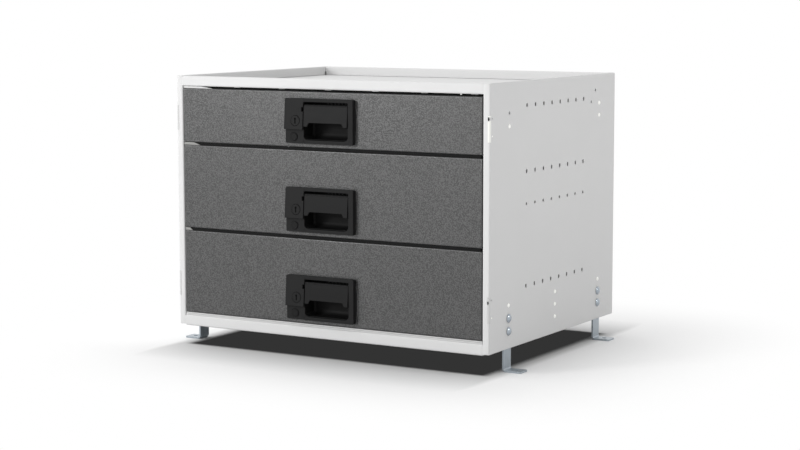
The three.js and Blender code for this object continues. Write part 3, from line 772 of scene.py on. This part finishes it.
def leg_bolt(node, hand, finish):
    """A domed head with a round lip, a threaded shank and a nut. The thread is a saw-tooth on the shank."""
    low, high = corners(node)
    centre = (low + high) / 2
    outer, inner = (high[X], low[X]) if hand > 0 else (low[X], high[X])
    rise, lip, edge = 3.7 * MM, 0.8 * MM, 0.4 * MM
    shank, pitch, tooth, point = 4 * MM, 1.25 * MM, 0.5 * MM, 0.6 * MM
    threaded, nut = 9 * MM, 6 * MM
    seat = outer - hand * (rise + lip)
    reach = abs(seat - inner)
    rim = arc(edge, finish.head - edge, size=edge, start=130, end=90, steps=3)
    dome = cap(finish.head, rise, steps=10) + (lip, 0)
    head = np.concatenate([[(0, shank), (0, finish.head - 0.3 * MM)], rim, dome])
    turns = int(threaded / pitch * 2)
    along = np.linspace(0, turns * pitch / 2, turns + 1) + point - reach
    thread = np.stack([along, np.where(np.arange(turns + 1) % 2, shank, shank - tooth)], axis=1)
    profile = np.concatenate([[(-reach, 0), (-reach, shank - 2 * tooth)], thread, head])
    profile[:, 0] *= hand
    under = (inner + hand * threaded, centre[Y], centre[Z])
    return together(turned(profile, (seat, centre[Y], centre[Z]), X, steps=32),
                    hexagon_nut(under, X, finish.flats, height=nut, bore=2 * shank, direction=-hand))


class DRAWERS_OT_handles(bpy.types.Operator):
    """Finish the housings, paddles and latch rods, and make the locks and push buttons"""

    bl_idname = "drawers.handles"
    bl_label = "Handles"

    def execute(self, context):
        settings = context.scene.drawer_cabinet
        finish = settings.handles
        nylon = moulded("handle_nylon", finish)
        # painted shade in the cup: the housing's nylon in a darker colour
        lining = moulded("cup_shade_nylon", finish, finish.cup)
        # painted shade for the lock gaps and key slots
        shade = dark_matt("gap_shade_black", finish.void, 0.02)
        # painted shade at the cup's ends: dark matt walls
        side = dark_matt("cup_end_shade", finish.cup, 0.1)
        # painted shadow of the handle: the fronts' coat in a darker colour
        handle_shadow_paint = textured_coat("gasket_foam", settings.fronts, finish.gasket)
        plastic = moulded("paddle_plastic", settings.paddles)
        casting = moulded("lock_casting", settings.locks)
        steel = plated("rod_plate", settings.slides)
        for drawer in DRAWERS:
            housing, paddle = "handle_housing_" + drawer, "handle_paddle_" + drawer
            lock, button = "lock_cylinder_" + drawer, "push_button_" + drawer
            softened(housing, nylon, finish.edge, single=False)
            softened(paddle, plastic, settings.paddles.edge)
            softened("latch_rod_" + drawer, steel, 0.4 * MM)
            softened(lock, casting, 0.3 * MM)
            softened(button, plastic, 0.3 * MM)
            for name, shape, node, slot, paint in (
                    # ribs in the cup's darker nylon, a painted shade
                    ("handle_ribs", housing_ribs(drawer, finish), housing, "handle", lining),
                    # painted shadow of the handle on the front
                    ("gasket", gasket(drawer, finish), housing, "handle", handle_shadow_paint),
                    ("handle_scoop", finger_scoop(drawer, finish), housing, "handle", lining),
                    ("handle_cup_shade", cup_shade_walls(drawer), housing, "handle", side),
                    ("lock_gap_shade", lock_gap_shade(lock), housing, "handle", shade),
                    ("keyway_shade", keyway_shade(lock), lock, "lock", shade),
                    ("paddle_bands", barrel_bands(paddle), paddle, "paddle", plastic),
                    ("lock_ring", face_ring(lock, 7 * MM), lock, "lock", casting),
                    ("button_ring", face_ring(button, 5.2 * MM), button, "paddle", plastic)):
                made(f"{name}_{drawer}", shape, BODY_OF[node], paint)
        return {"FINISHED"}


def window_of(drawer):
    """Lowest and highest corner of a housing's window, from the paddle and the play round it. Its depth runs
    from the front of the drawer to the back of the cup."""
    low, high = corners("handle_paddle_" + drawer)
    front = corners("drawer_front_" + drawer)[0]
    back = corners("handle_housing_" + drawer)[1][Y] - 2 * MM
    ear = (2.6 - 0.9) * MM  # how far the paddle's pin reaches past the window on each side
    bottom, height = front[Z] + 13.2 * MM, 65.7 * MM
    return np.array([low[X] + ear, front[Y], bottom]), np.array([high[X] - ear, back, bottom + height])


def housing_ribs(drawer, finish):
    """Ribs under the window's upper edge, from a place right of its middle on."""
    low, high = window_of(drawer)
    wide, first = 1.3 * MM, low[X] + 47 * MM
    front, back = low[Y] - 4.4 * MM, low[Y] - 2.5 * MM
    foot, top = high[Z] - 3.2 * MM, high[Z] + 0.3 * MM
    rib = brick((0, front, foot), (wide, back, top))
    return many(rib, [(first + i * finish.rib_pitch, 0, 0) for i in range(finish.ribs)])


def gasket(drawer, finish):
    """Painted shadow of the handle on the front: a thin dark sheet behind the bezel, which shows as a bulge
    past the right edge. The bulge is a curve of the second degree, which leaves the straight edge by
    4 t (1 - t) times its height, for t from 0 to 1."""
    low, high = corners("handle_housing_" + drawer)
    front = corners("drawer_front_" + drawer)[0][Y]
    share = np.linspace(0.01, 0.99, 25)
    edge = high[X] + finish.bulge * 4 * share * (1 - share)
    height = low[Z] + share * (high[Z] - low[Z])
    inner, deep, clear = high[X] - 2 * MM, 0.7 * MM, 0.05 * MM
    outline = np.concatenate([[(inner, height[0])], np.stack([edge, height], axis=1), [(inner, height[-1])]])
    return prism(outline, Y, front - deep, front - clear)


def finger_scoop(drawer, finish):
    """Lining of the finger cup: a sheet that runs back along the cup's floor, turns up in a quarter circle and
    rises along its back wall, with a small round at each side. It is carried as a wall of its own thickness.
    Near a side the sheet lifts off by 1 - sqrt(1 - s squared) times the side's radius, where s runs from 0 to 1
    over that radius: upwards on the floor and forwards on the back wall."""
    low, high = window_of(drawer)
    inset, thick, side, lip = 0.8 * MM, 0.6 * MM, 3 * MM, 0.9 * MM
    front, back = low[Y] - 7.4 * MM, high[Y] - inset
    floor_at, top = low[Z] + inset, high[Z] - inset
    turn = np.linspace(0, math.pi / 2, 12)
    radius = finish.scoop
    bend = np.stack([back - radius + radius * np.sin(turn), floor_at + radius * (1 - np.cos(turn))], axis=1)
    inner = np.concatenate([[(front, floor_at + lip), (front + 2 * MM, floor_at)], bend, [(back, top)]])
    along = np.gradient(inner, axis=0)
    along /= np.linalg.norm(along, axis=1)[:, None]
    outer = inner + thick * np.stack([along[:, 1], -along[:, 0]], axis=1)
    section = np.concatenate([inner, outer[::-1]])
    across = np.linspace(low[X] + inset, high[X] - inset, 33)
    near = np.minimum(across - across[0], across[-1] - across)
    lift = side * (1 - np.sqrt(1 - np.clip(1 - near / side, 0, 1) ** 2))[:, None]
    height = (section[:, 1] - floor_at) / radius
    points = np.zeros((len(across), len(section), 3))
    points[..., X] = across[:, None]
    points[..., Y] = section[:, 0] - lift * np.clip(height, 0, 1)
    points[..., Z] = section[:, 1] + lift * np.clip(1 - height, 0, 1)
    shape, faces = grid(points, (False, True))
    ring = len(section)
    last = (len(across) - 1) * ring
    ends = [[i, i + 1, ring - 2 - i, ring - 1 - i] for i in range(len(inner) - 1)]
    return shape, faces + ends + [[last + i for i in end] for end in ends]


def cup_shade_walls(drawer):
    """Painted shade at both ends of the cup: thin dark walls, from just behind the bezel's face to its back."""
    low, high = window_of(drawer)
    near, far, clear = 0.05 * MM, 0.35 * MM, 2.5 * MM
    front, back = low[Y] - 7.9 * MM, high[Y] - 0.5 * MM
    return together(*(brick((start, front, low[Z] + clear), (end, back, high[Z] - clear))
                      for start, end in ((low[X] + near, low[X] + far), (high[X] - far, high[X] - near))))


def round_face(node):
    """Centre of the round front face of a piece, and its radius. What reaches further down is a cam."""
    low, high = corners(node)
    radius = (high[X] - low[X]) / 2
    return np.array([(low[X] + high[X]) / 2, low[Y], high[Z] - radius]), radius


def lock_gap_shade(lock):
    """Painted shade in the gap round the lock: a dark ring. It leans with the wedge, whose face falls back by
    the slope.
    """
    centre, radius = round_face(lock)
    centre[Y] += 0.5 * MM
    slope = 4 / 53.7
    near, far, front, back = radius + 0.02 * MM, radius + 0.8 * MM, -0.06 * MM, 0.3 * MM
    band = [(back, near), (front, near), (front, far), (back, far)]
    points, faces = turned(band, centre, Y, steps=40, loop=True)
    points[:, Y] += (points[:, Z] - centre[Z]) * slope
    return points, faces


def keyway_shade(lock):
    """Painted shade of the key slot: a dark lining round it, level with the lock's face, a bar with a wider
    round head.
    """
    (x, y, z), _ = round_face(lock)
    face, half, deep, head = y - 0.05 * MM, 1.15 * MM, 5 * MM, 2 * MM
    foot, top, eye = z - 5.2 * MM, z + 4 * MM, (x, face - 0.03 * MM, z + 3.1 * MM)
    return together(brick((x - half, face, foot), (x + half, face + deep, top)),
                    turned([(0, 0), (0, head), (deep, head), (deep, 0)], eye, Y, steps=16))


def barrel_bands(paddle):
    """Raised bands round the paddle's hinge barrel."""
    low, high = corners(paddle)
    radius, margin = 2.6 * MM, 8 * MM
    band = [(along * MM, radius + above * MM)
            for along, above in ((-1.5, -0.2), (-1.5, 0.15), (-1.2, 0.3), (1.2, 0.3), (1.5, 0.15), (1.5, -0.2))]
    one = turned(band, (0, high[Y] - radius, high[Z] - radius), X, steps=24, loop=True)
    return many(one, [(along, 0, 0) for along in np.linspace(low[X] + margin, high[X] - margin, 7)])


def face_ring(node, radius):
    """A thin raised ring on the front face of a round piece."""
    ring = [(along * MM, radius + out * MM)
            for along, out in ((0.1, -0.3), (-0.15, -0.2), (-0.15, 0.2), (0.1, 0.3))]
    return turned(ring, round_face(node)[0], Y, steps=40, loop=True)


class DRAWERS_OT_fittings(bpy.types.Operator):
    """Make the plugs and clips of the side panels, the painted shade and light in the gaps and behind the
    holes, and the rivets of the back
    """

    bl_idname = "drawers.fittings"
    bl_label = "Fittings"

    def execute(self, context):
        settings = context.scene.drawer_cabinet
        finish = settings.fittings
        pale = smooth_coat("plug_plastic", finish)
        # the pale plugs' plastic, with a painted glow
        clear = smooth_coat("glowing_plug_plastic", finish, painted_glow=finish.painted_glow)
        # grey plastic of the clip strips, and the painted light in the top gap and on the bottom ledge
        grey = smooth_coat("grey_strips_and_gap_light", finish, finish.grey)
        # painted light at the left end of the two lower gaps
        shaded = smooth_coat("gap_light_plastic", finish, finish.buffer)
        coat = smooth_coat("rivet_coat", settings.shell)
        # painted shade strips in the gaps, and the clips' dark screws
        dark = dark_matt("gap_shade_and_screw_matt", finish.gap_shade_and_screws, 0.1)
        # painted shade seen through the side panels' holes
        shade = dark_matt("hole_shade_sheet", settings.handles.void, 0.02)
        clip_edge, sheet_edge = 0.15 * MM, 0.2 * MM
        for side, hand in SIDES.items():
            panel = "side_panel_" + side
            high_clip, screws = grey, []  # the clips on the left are single grey strips without screws
            if side == "right":
                high_clip, screws = pale, [("clip_screws", clip_screws(panel, hand), "handle", dark, 0)]
            for name, shape, slot, paint, edge in (
                    ("plugs", side_plugs(panel, hand, finish), "shell", clear, 0),
                    ("clip_low", corner_clip(panel, hand, finish, "low"), "shell", grey, clip_edge),
                    ("clip_high", corner_clip(panel, hand, finish, "high"), "shell", high_clip, clip_edge),
                    *screws,
                    ("hole_shade", hole_shade(panel, side, hand), "handle", shade, 0),
                    ("rim_skirt", rim_skirt(panel, hand), "shell", coat, sheet_edge),
                    ("rail_seams", rail_seams(panel, hand), "shell", coat, 0),
                    ("back_rivets", back_rivets(panel, hand, finish), "shell", coat, 0)):
                made(f"{name}_{side}", shape, BODY_OF[panel], paint, edge)
        made("ledge_light_strips", ledge_light_strips(), BODY_OF["bottom_panel"], grey, sheet_edge)
        made("rim_skirt_back", back_skirt(), BODY_OF["back_panel"], coat, sheet_edge)
        made("rail_pin", rail_pin(), BODY_OF["top_tray"], pale)
        ceilings = [corners("drawer_front_" + drawer)[0][Z] for drawer in DRAWERS[1:]]
        ceilings.append(corners("top_tray")[0][Z] + 3.9 * MM)
        for drawer, ceiling in zip(DRAWERS, ceilings):
            body = BODY_OF["drawer_front_" + drawer]
            # painted shade and painted light in the gap above each front
            made("gap_shade_strip_" + drawer, gap_shade_strip(drawer, ceiling), body, dark, sheet_edge)
            made("gap_light_wedge_" + drawer, gap_light_wedge(drawer, ceiling), body,
                 grey if drawer == "top" else shaded)
        return {"FINISHED"}


def outside(panel, hand):
    """Where a side's outer face lies on X, and the lowest and highest corner of its panel."""
    low, high = corners(panel)
    return (high[X] if hand > 0 else low[X]), low, high


def inwards(face, hand, *depths):
    """Places so many millimetres in from a side's outer face, the lowest first."""
    return sorted(face - hand * depth * MM for depth in depths)


def side_plugs(panel, hand, finish):
    """Caps over the unused fixing holes, in the front, middle and rear columns, and two small rivets near the
    front edge. Places are millimetres from the front and above the floor."""
    face, low, _ = outside(panel, hand)
    holes = [(69, 413), (424, 413), (69, 112), (424, 112), (424, 435), (246.5, 112), (246.5, 90), (246.5, 68)]
    plug = dict(radius=finish.plug, rise=finish.rise, stem=2.4 * MM, reach=0.4 * MM)
    rivet = dict(radius=1.4 * MM, rise=0.4 * MM, stem=1 * MM, reach=0.2 * MM)
    places = [(hole, plug) for hole in holes] + [((8, 400), rivet), ((8, 99), rivet)]
    return together(*(domed((face, low[Y] + along * MM, up * MM), X, hand, **kind)
                      for (along, up), kind in places))


def corner_clip(panel, hand, finish, place):
    """Two strips round the front corner over a clip slot, or one on the left. Their section follows the
    corner's bend: straight on the front, then a quarter circle of the bend's radius plus their thickness."""
    face, low, _ = outside(panel, hand)
    bend, sunk = 3 * MM, 0.05 * MM
    centre = np.array([face - hand * bend, low[Y] + bend])
    turn = np.linspace(0, math.pi / 2, 7)
    way = np.stack([hand * np.sin(turn), -np.cos(turn)], axis=1)
    outer = centre + (bend + finish.clip) * way
    under = centre + (bend - sunk) * way
    flat = np.array([hand * 1.3 * MM, 0])
    outline = np.concatenate([[outer[0] - flat], outer, under[::-1], [under[0] - flat]])
    bottom, gap_from, gap_to = (value * MM for value in CLIPS[place])
    start, end = bottom + 0.3 * MM, bottom + CLIP_LENGTH - 0.3 * MM
    spans = ((start, bottom + gap_from), (bottom + gap_to, end)) if hand > 0 else ((start, end),)
    return together(*(prism(outline, Z, *span) for span in spans))


def clip_screws(panel, hand):
    """A small dark screw between the two strips of each clip, the upper one the larger."""
    face, low, _ = outside(panel, hand)
    x = face - hand * 2.4 * MM
    return together(*(domed((x, low[Y], up * MM), Y, -1, radius=size * MM, rise=0.5 * MM, stem=1 * MM,
                            reach=0.3 * MM) for up, size in ((125, 0.9), (428.5, 1.5))))


def hole_shade(panel, side, hand):
    """Painted shade behind the rows of holes: dark sheets between the panel and the slides' channels."""
    face, low, _ = outside(panel, hand)
    start, end = inwards(face, hand, 1.55, 1.75)
    front, back, half = low[Y] + 128 * MM, low[Y] + 364 * MM, 6 * MM
    heights = [middle(f"slide_fixed_{drawer}_{side}")[Z] for drawer in DRAWERS]
    return together(*(brick((start, front, height - half), (end, back, height + half)) for height in heights))


def rim_skirt(panel, hand):
    """Lower part of a side's rolled rim, which reaches down to just above the deck."""
    face, low, high = outside(panel, hand)
    start, end = inwards(face, hand, 4.6, 6)
    return brick((start, low[Y] + 16.5 * MM, high[Z] - SKIRT[0]),
                 (end, high[Y] - 8.4 * MM, high[Z] - SKIRT[1]))


def back_skirt():
    """Lower part of the back's rolled rim."""
    low, high = corners("back_panel")
    inset, sheet = 5.4 * MM, 1.4 * MM
    return brick((low[X] + inset, low[Y], high[Z] - SKIRT[0]),
                 (high[X] - inset, low[Y] + sheet, high[Z] - SKIRT[1]))


def rail_seams(panel, hand):
    """Coat that bridges the seams between the post and the two rails."""
    face, low, high = outside(panel, hand)
    start, end = inwards(face, hand, 9, 14.2)
    front, back = low[Y] + 0.3 * MM, low[Y] + 1.2 * MM
    rail_top = corners("bottom_panel")[1][Z]
    heights = ((low[Z] + 0.6 * MM, rail_top - 2.5 * MM), (high[Z] - 17 * MM, high[Z] - 2 * MM))
    return together(*(brick((start, front, foot), (end, back, top)) for foot, top in heights))


def back_rivets(panel, hand, finish):
    """Coated rivets in a row down the rear return."""
    face, low, high = outside(panel, hand)
    x, margin = face - hand * 7.5 * MM, 28 * MM
    return together(*(domed((x, high[Y], up), Y, 1, radius=finish.rivet, rise=1.1 * MM, stem=2 * MM,
                            reach=0.3 * MM) for up in np.linspace(low[Z] + margin, high[Z] - margin, 5)))


def ledge_light_strips():
    """Painted light on the bottom rail's ledge: two pale strips along it, in the gap under the front, the upper
    one set back.
    """
    low, high = corners("drawer_front_bottom")
    ledge, back = low[Z] - 5.6 * MM, low[Y] + 4.6 * MM
    strips = [(low[Y] + front * MM, ledge + start * MM, ledge + end * MM)
              for front, start, end in ((1.3, 0.1, 2.3), (1.7, 2.6, 4.8))]
    return together(*(brick((low[X], front, foot), (high[X], back, top)) for front, foot, top in strips))


def rail_pin():
    """A small pale stop under the top rail, near its right end."""
    place = (262 * MM, corners("drawer_front_top")[0][Y] + 3.2 * MM, corners("top_tray")[0][Z] + 3.7 * MM)
    return domed(place, Z, -1, radius=1.7 * MM, rise=2 * MM, stem=1.2 * MM, reach=0.4 * MM)


def gap_shade_strip(drawer, ceiling):
    """Painted shade in the gap above a front: a dark strip on the front's upper edge, set back, which nearly
    fills the gap.
    """
    low, high = corners("drawer_front_" + drawer)
    inset, thick = 3 * MM, 2 * MM
    front = low[Y] + (9.6 if drawer == "top" else 2.6) * MM
    return brick((low[X] + inset, front, high[Z] + 0.1 * MM),
                 (high[X] - inset, front + thick, ceiling - 0.4 * MM))


def gap_light_wedge(drawer, ceiling):
    """Painted light at the left end of the gap: a pale wedge, in front of the dark strip, which thins out to
    the right.
    """
    low, high = corners("drawer_front_" + drawer)
    length = {"top": 62, "middle": 34, "bottom": 15}[drawer] * MM
    start, foot, top, thin = low[X] + 1 * MM, high[Z] + 0.1 * MM, ceiling - 0.3 * MM, 0.2 * MM
    end, slope_from = start + length, start + length * 0.6
    outline = [(start, foot), (end, foot), (end, foot + thin), (slope_from, top), (start, top)]
    return prism(outline, Y, low[Y] + 1.2 * MM, low[Y] + 2.5 * MM)


class DRAWERS_OT_stage(bpy.types.Operator):
    """Make the floor, the light and the camera"""

    bl_idname = "drawers.stage"
    bl_label = "Stage"

    def execute(self, context):
        stage = context.scene.drawer_cabinet.stage
        context.scene.view_settings.view_transform = "Standard"
        floor(stage)
        light(context.scene, stage)
        camera(context.scene, stage)
        return {"FINISHED"}


def floor(stage):
    """A round floor, and its paint: a painted shadow under the cabinet, which glows dark to the eye, matt
    round it, and white to the eye further out. The distance is from the rectangle on which the cabinet
    stands: the length of what is left of |x| and |y| past its half width and half depth. A painted shadow
    darkens the matt part towards the cabinet's front and back, and a painted shade makes it throw back less
    light the nearer it lies."""
    rings = np.array([0, 0.5, 1, 2, 4, 12])  # radii in metres
    angle = around(64)
    points = np.stack([rings[:, None] * np.cos(angle), rings[:, None] * np.sin(angle),
                       np.zeros((len(rings), len(angle)))], axis=-1)
    mesh = mesh_of("floor", grid(points, (False, True)))
    low, high = corners("side_panel_left")
    centre, half = (low[Y] + high[Y]) / 2, (high[Y] - low[Y]) / 2
    paint = material("floor_paint")
    place = paint.place()
    x, y = (paint.node("ShaderNodeSeparateXYZ", {}, {0: place}, output=axis) for axis in (X, Y))
    signed = [paint.maths("ABSOLUTE", along) - reach for along, reach in ((x, -low[X]), (y - centre, half))]
    past = [paint.maths("MAXIMUM", each, 0.0) for each in signed]
    away = paint.maths("SQRT", past[0] * past[0] + past[1] * past[1])
    narrow = 60.0  # what a step sideways counts for, squared, so that the painted shadow stays narrow and the sides stay bright
    ahead = paint.maths("SQRT", past[0] * past[0] * narrow + past[1] * past[1])
    eye = looked_at(paint)
    # painted shadow: the floor's colour darkens close in front of and behind the cabinet
    near = stage.near + (1 - stage.near) * paint.maths("MINIMUM", ahead / stage.near_to, 1.0)
    # painted shade: the floor throws back less light near the cabinet
    bounce_shade = stage.bounce + (1 - stage.bounce) * paint.maths("MINIMUM", away / stage.bounce_to, 1.0)
    matt = paint.node("ShaderNodeBsdfDiffuse", {}, {
        "Color": paint.shaded(stage.floor, near * (eye + (1 - eye) * bounce_shade))})
    white = paint.node("ShaderNodeEmission", {}, {"Color": (1, 1, 1, 1), "Strength": 1.0})
    # painted shadow: to the eye, the floor under the cabinet glows at a flat dark level
    shade = paint.node("ShaderNodeEmission", {}, {"Color": (stage.under,) * 3 + (1,), "Strength": 1.0})
    outside = paint.node("ShaderNodeMixShader", {},
                         {0: eye * away.between(stage.fade_from, stage.fade_to), 1: matt, 2: white})
    fades = ((-24 * MM, 0), (-18 * MM, -2 * MM))  # where the painted shadow under the cabinet fades out, at the sides and at the front
    inside = (1 - signed[0].between(*fades[0])) * (1 - signed[1].between(*fades[1]))
    both = paint.node("ShaderNodeMixShader", {}, {0: eye * inside, 1: outside, 2: shade})
    paint.node("ShaderNodeOutputMaterial", {}, {"Surface": both})
    mesh.materials.append(paint.owner)
    thing = bpy.data.objects.new("floor", mesh)
    bpy.context.scene.collection.objects.link(thing)


def looked_at(paint):
    """One for the rays that see the background: straight on, in a gloss or through glass."""
    rays = [paint.node("ShaderNodeLightPath", output=kind)
            for kind in ("Is Camera Ray", "Is Glossy Ray", "Is Transmission Ray")]
    return paint.maths("MAXIMUM", paint.maths("MAXIMUM", rays[0], rays[1]), rays[2])


def light(scene, stage):
    """Soft light from every side, stronger from the left, with a soft lamp in front at the left and a small
    lamp on the right. The background is white."""
    world = bpy.data.worlds.new("studio")
    scene.world = world
    paint = Paint(world)
    way = paint.node("ShaderNodeTexCoord", output="Generated")
    toward = [paint.node("ShaderNodeSeparateXYZ", {}, {0: way}, output=axis) for axis in (X, Y)]
    level = stage.level - toward[0] * stage.left - toward[1] * stage.front
    soft = paint.node("ShaderNodeBackground", {}, {"Color": (1, 1, 1, 1), "Strength": level})
    white = paint.node("ShaderNodeBackground", {}, {"Color": (1, 1, 1, 1), "Strength": 1.0})
    both = paint.node("ShaderNodeMixShader", {}, {0: looked_at(paint), 1: soft, 2: white})
    paint.node("ShaderNodeOutputWorld", {}, {"Surface": both})
    lamp(scene, "soft_lamp", stage.lamp, stage.lamp_size, place=(-1.6, -2.75, 1.2), target=(0, -0.24, 0.35))
    lamp(scene, "small_lamp", stage.spark, stage.spark_size, place=(2.1, 0.1, 1.15), target=(0.32, 0, 0.1))


def lamp(scene, name, power, size, place, target):
    """A round area lamp that looks from its place at a target."""
    data = bpy.data.lights.new(name, "AREA")
    data.shape = "DISK"
    data.size = size
    data.energy = power
    thing = bpy.data.objects.new(name, data)
    way = (Vector(target) - Vector(place)).to_track_quat("-Z", "Y")
    thing.matrix_world = Matrix.Translation(place) @ way.to_matrix().to_4x4()
    scene.collection.objects.link(thing)


def camera(scene, stage):
    """The camera at the photograph's place: turned from the Y axis, tilted down and rolled, in degrees."""
    place = Vector((1.793, -3.0403, 0.633))
    turn, tilt, roll = (math.radians(angle) for angle in (-30.453, 6.814, -0.068))
    ahead = Vector((math.sin(turn) * math.cos(tilt), math.cos(turn) * math.cos(tilt), -math.sin(tilt)))
    right = Vector((math.cos(turn), -math.sin(turn), 0))
    up = right.cross(ahead)
    across = right * math.cos(roll) + up * math.sin(roll)
    upward = up * math.cos(roll) - right * math.sin(roll)
    data = bpy.data.cameras.new("camera")
    data.sensor_width = 36
    data.lens = stage.lens
    thing = bpy.data.objects.new("camera", data)
    thing.matrix_world = Matrix((across, upward, -ahead)).transposed().to_4x4()
    thing.location = place
    scene.collection.objects.link(thing)
    scene.camera = thing


# ---------------------------------------------------------------- panel


OPERATORS = (DRAWERS_OT_shell, DRAWERS_OT_fronts, DRAWERS_OT_boxes, DRAWERS_OT_slides, DRAWERS_OT_legs,
             DRAWERS_OT_handles, DRAWERS_OT_fittings, DRAWERS_OT_stage)


class DRAWERS_PT_panel(bpy.types.Panel):
    """Steps and settings of the cabinet"""

    bl_idname = "DRAWERS_PT_panel"
    bl_label = "Van drawer cabinet"
    bl_space_type = "VIEW_3D"
    bl_region_type = "UI"
    bl_category = "Drawers"

    def draw(self, context):
        for step in OPERATORS:
            self.layout.operator(step.bl_idname)
        for name, group in GROUPS.items():
            box = self.layout.box()
            box.label(text=name.capitalize())
            for key in group.__annotations__:
                box.prop(getattr(context.scene.drawer_cabinet, name), key)


CLASSES = (*GROUPS.values(), DrawerCabinet, *OPERATORS, DRAWERS_PT_panel)


def register():
    """Make the settings and the steps known to Blender."""
    for each in CLASSES:
        bpy.utils.register_class(each)
    bpy.types.Scene.drawer_cabinet = PointerProperty(type=DrawerCabinet)


def unregister():
    """Take them out again."""
    del bpy.types.Scene.drawer_cabinet
    for each in reversed(CLASSES):
        bpy.utils.unregister_class(each)


def main():
    """Carry out every step in order."""
    register()
    for step in OPERATORS:
        getattr(bpy.ops.drawers, step.bl_idname.split(".")[1])()


if __name__ == "__main__":
    main()
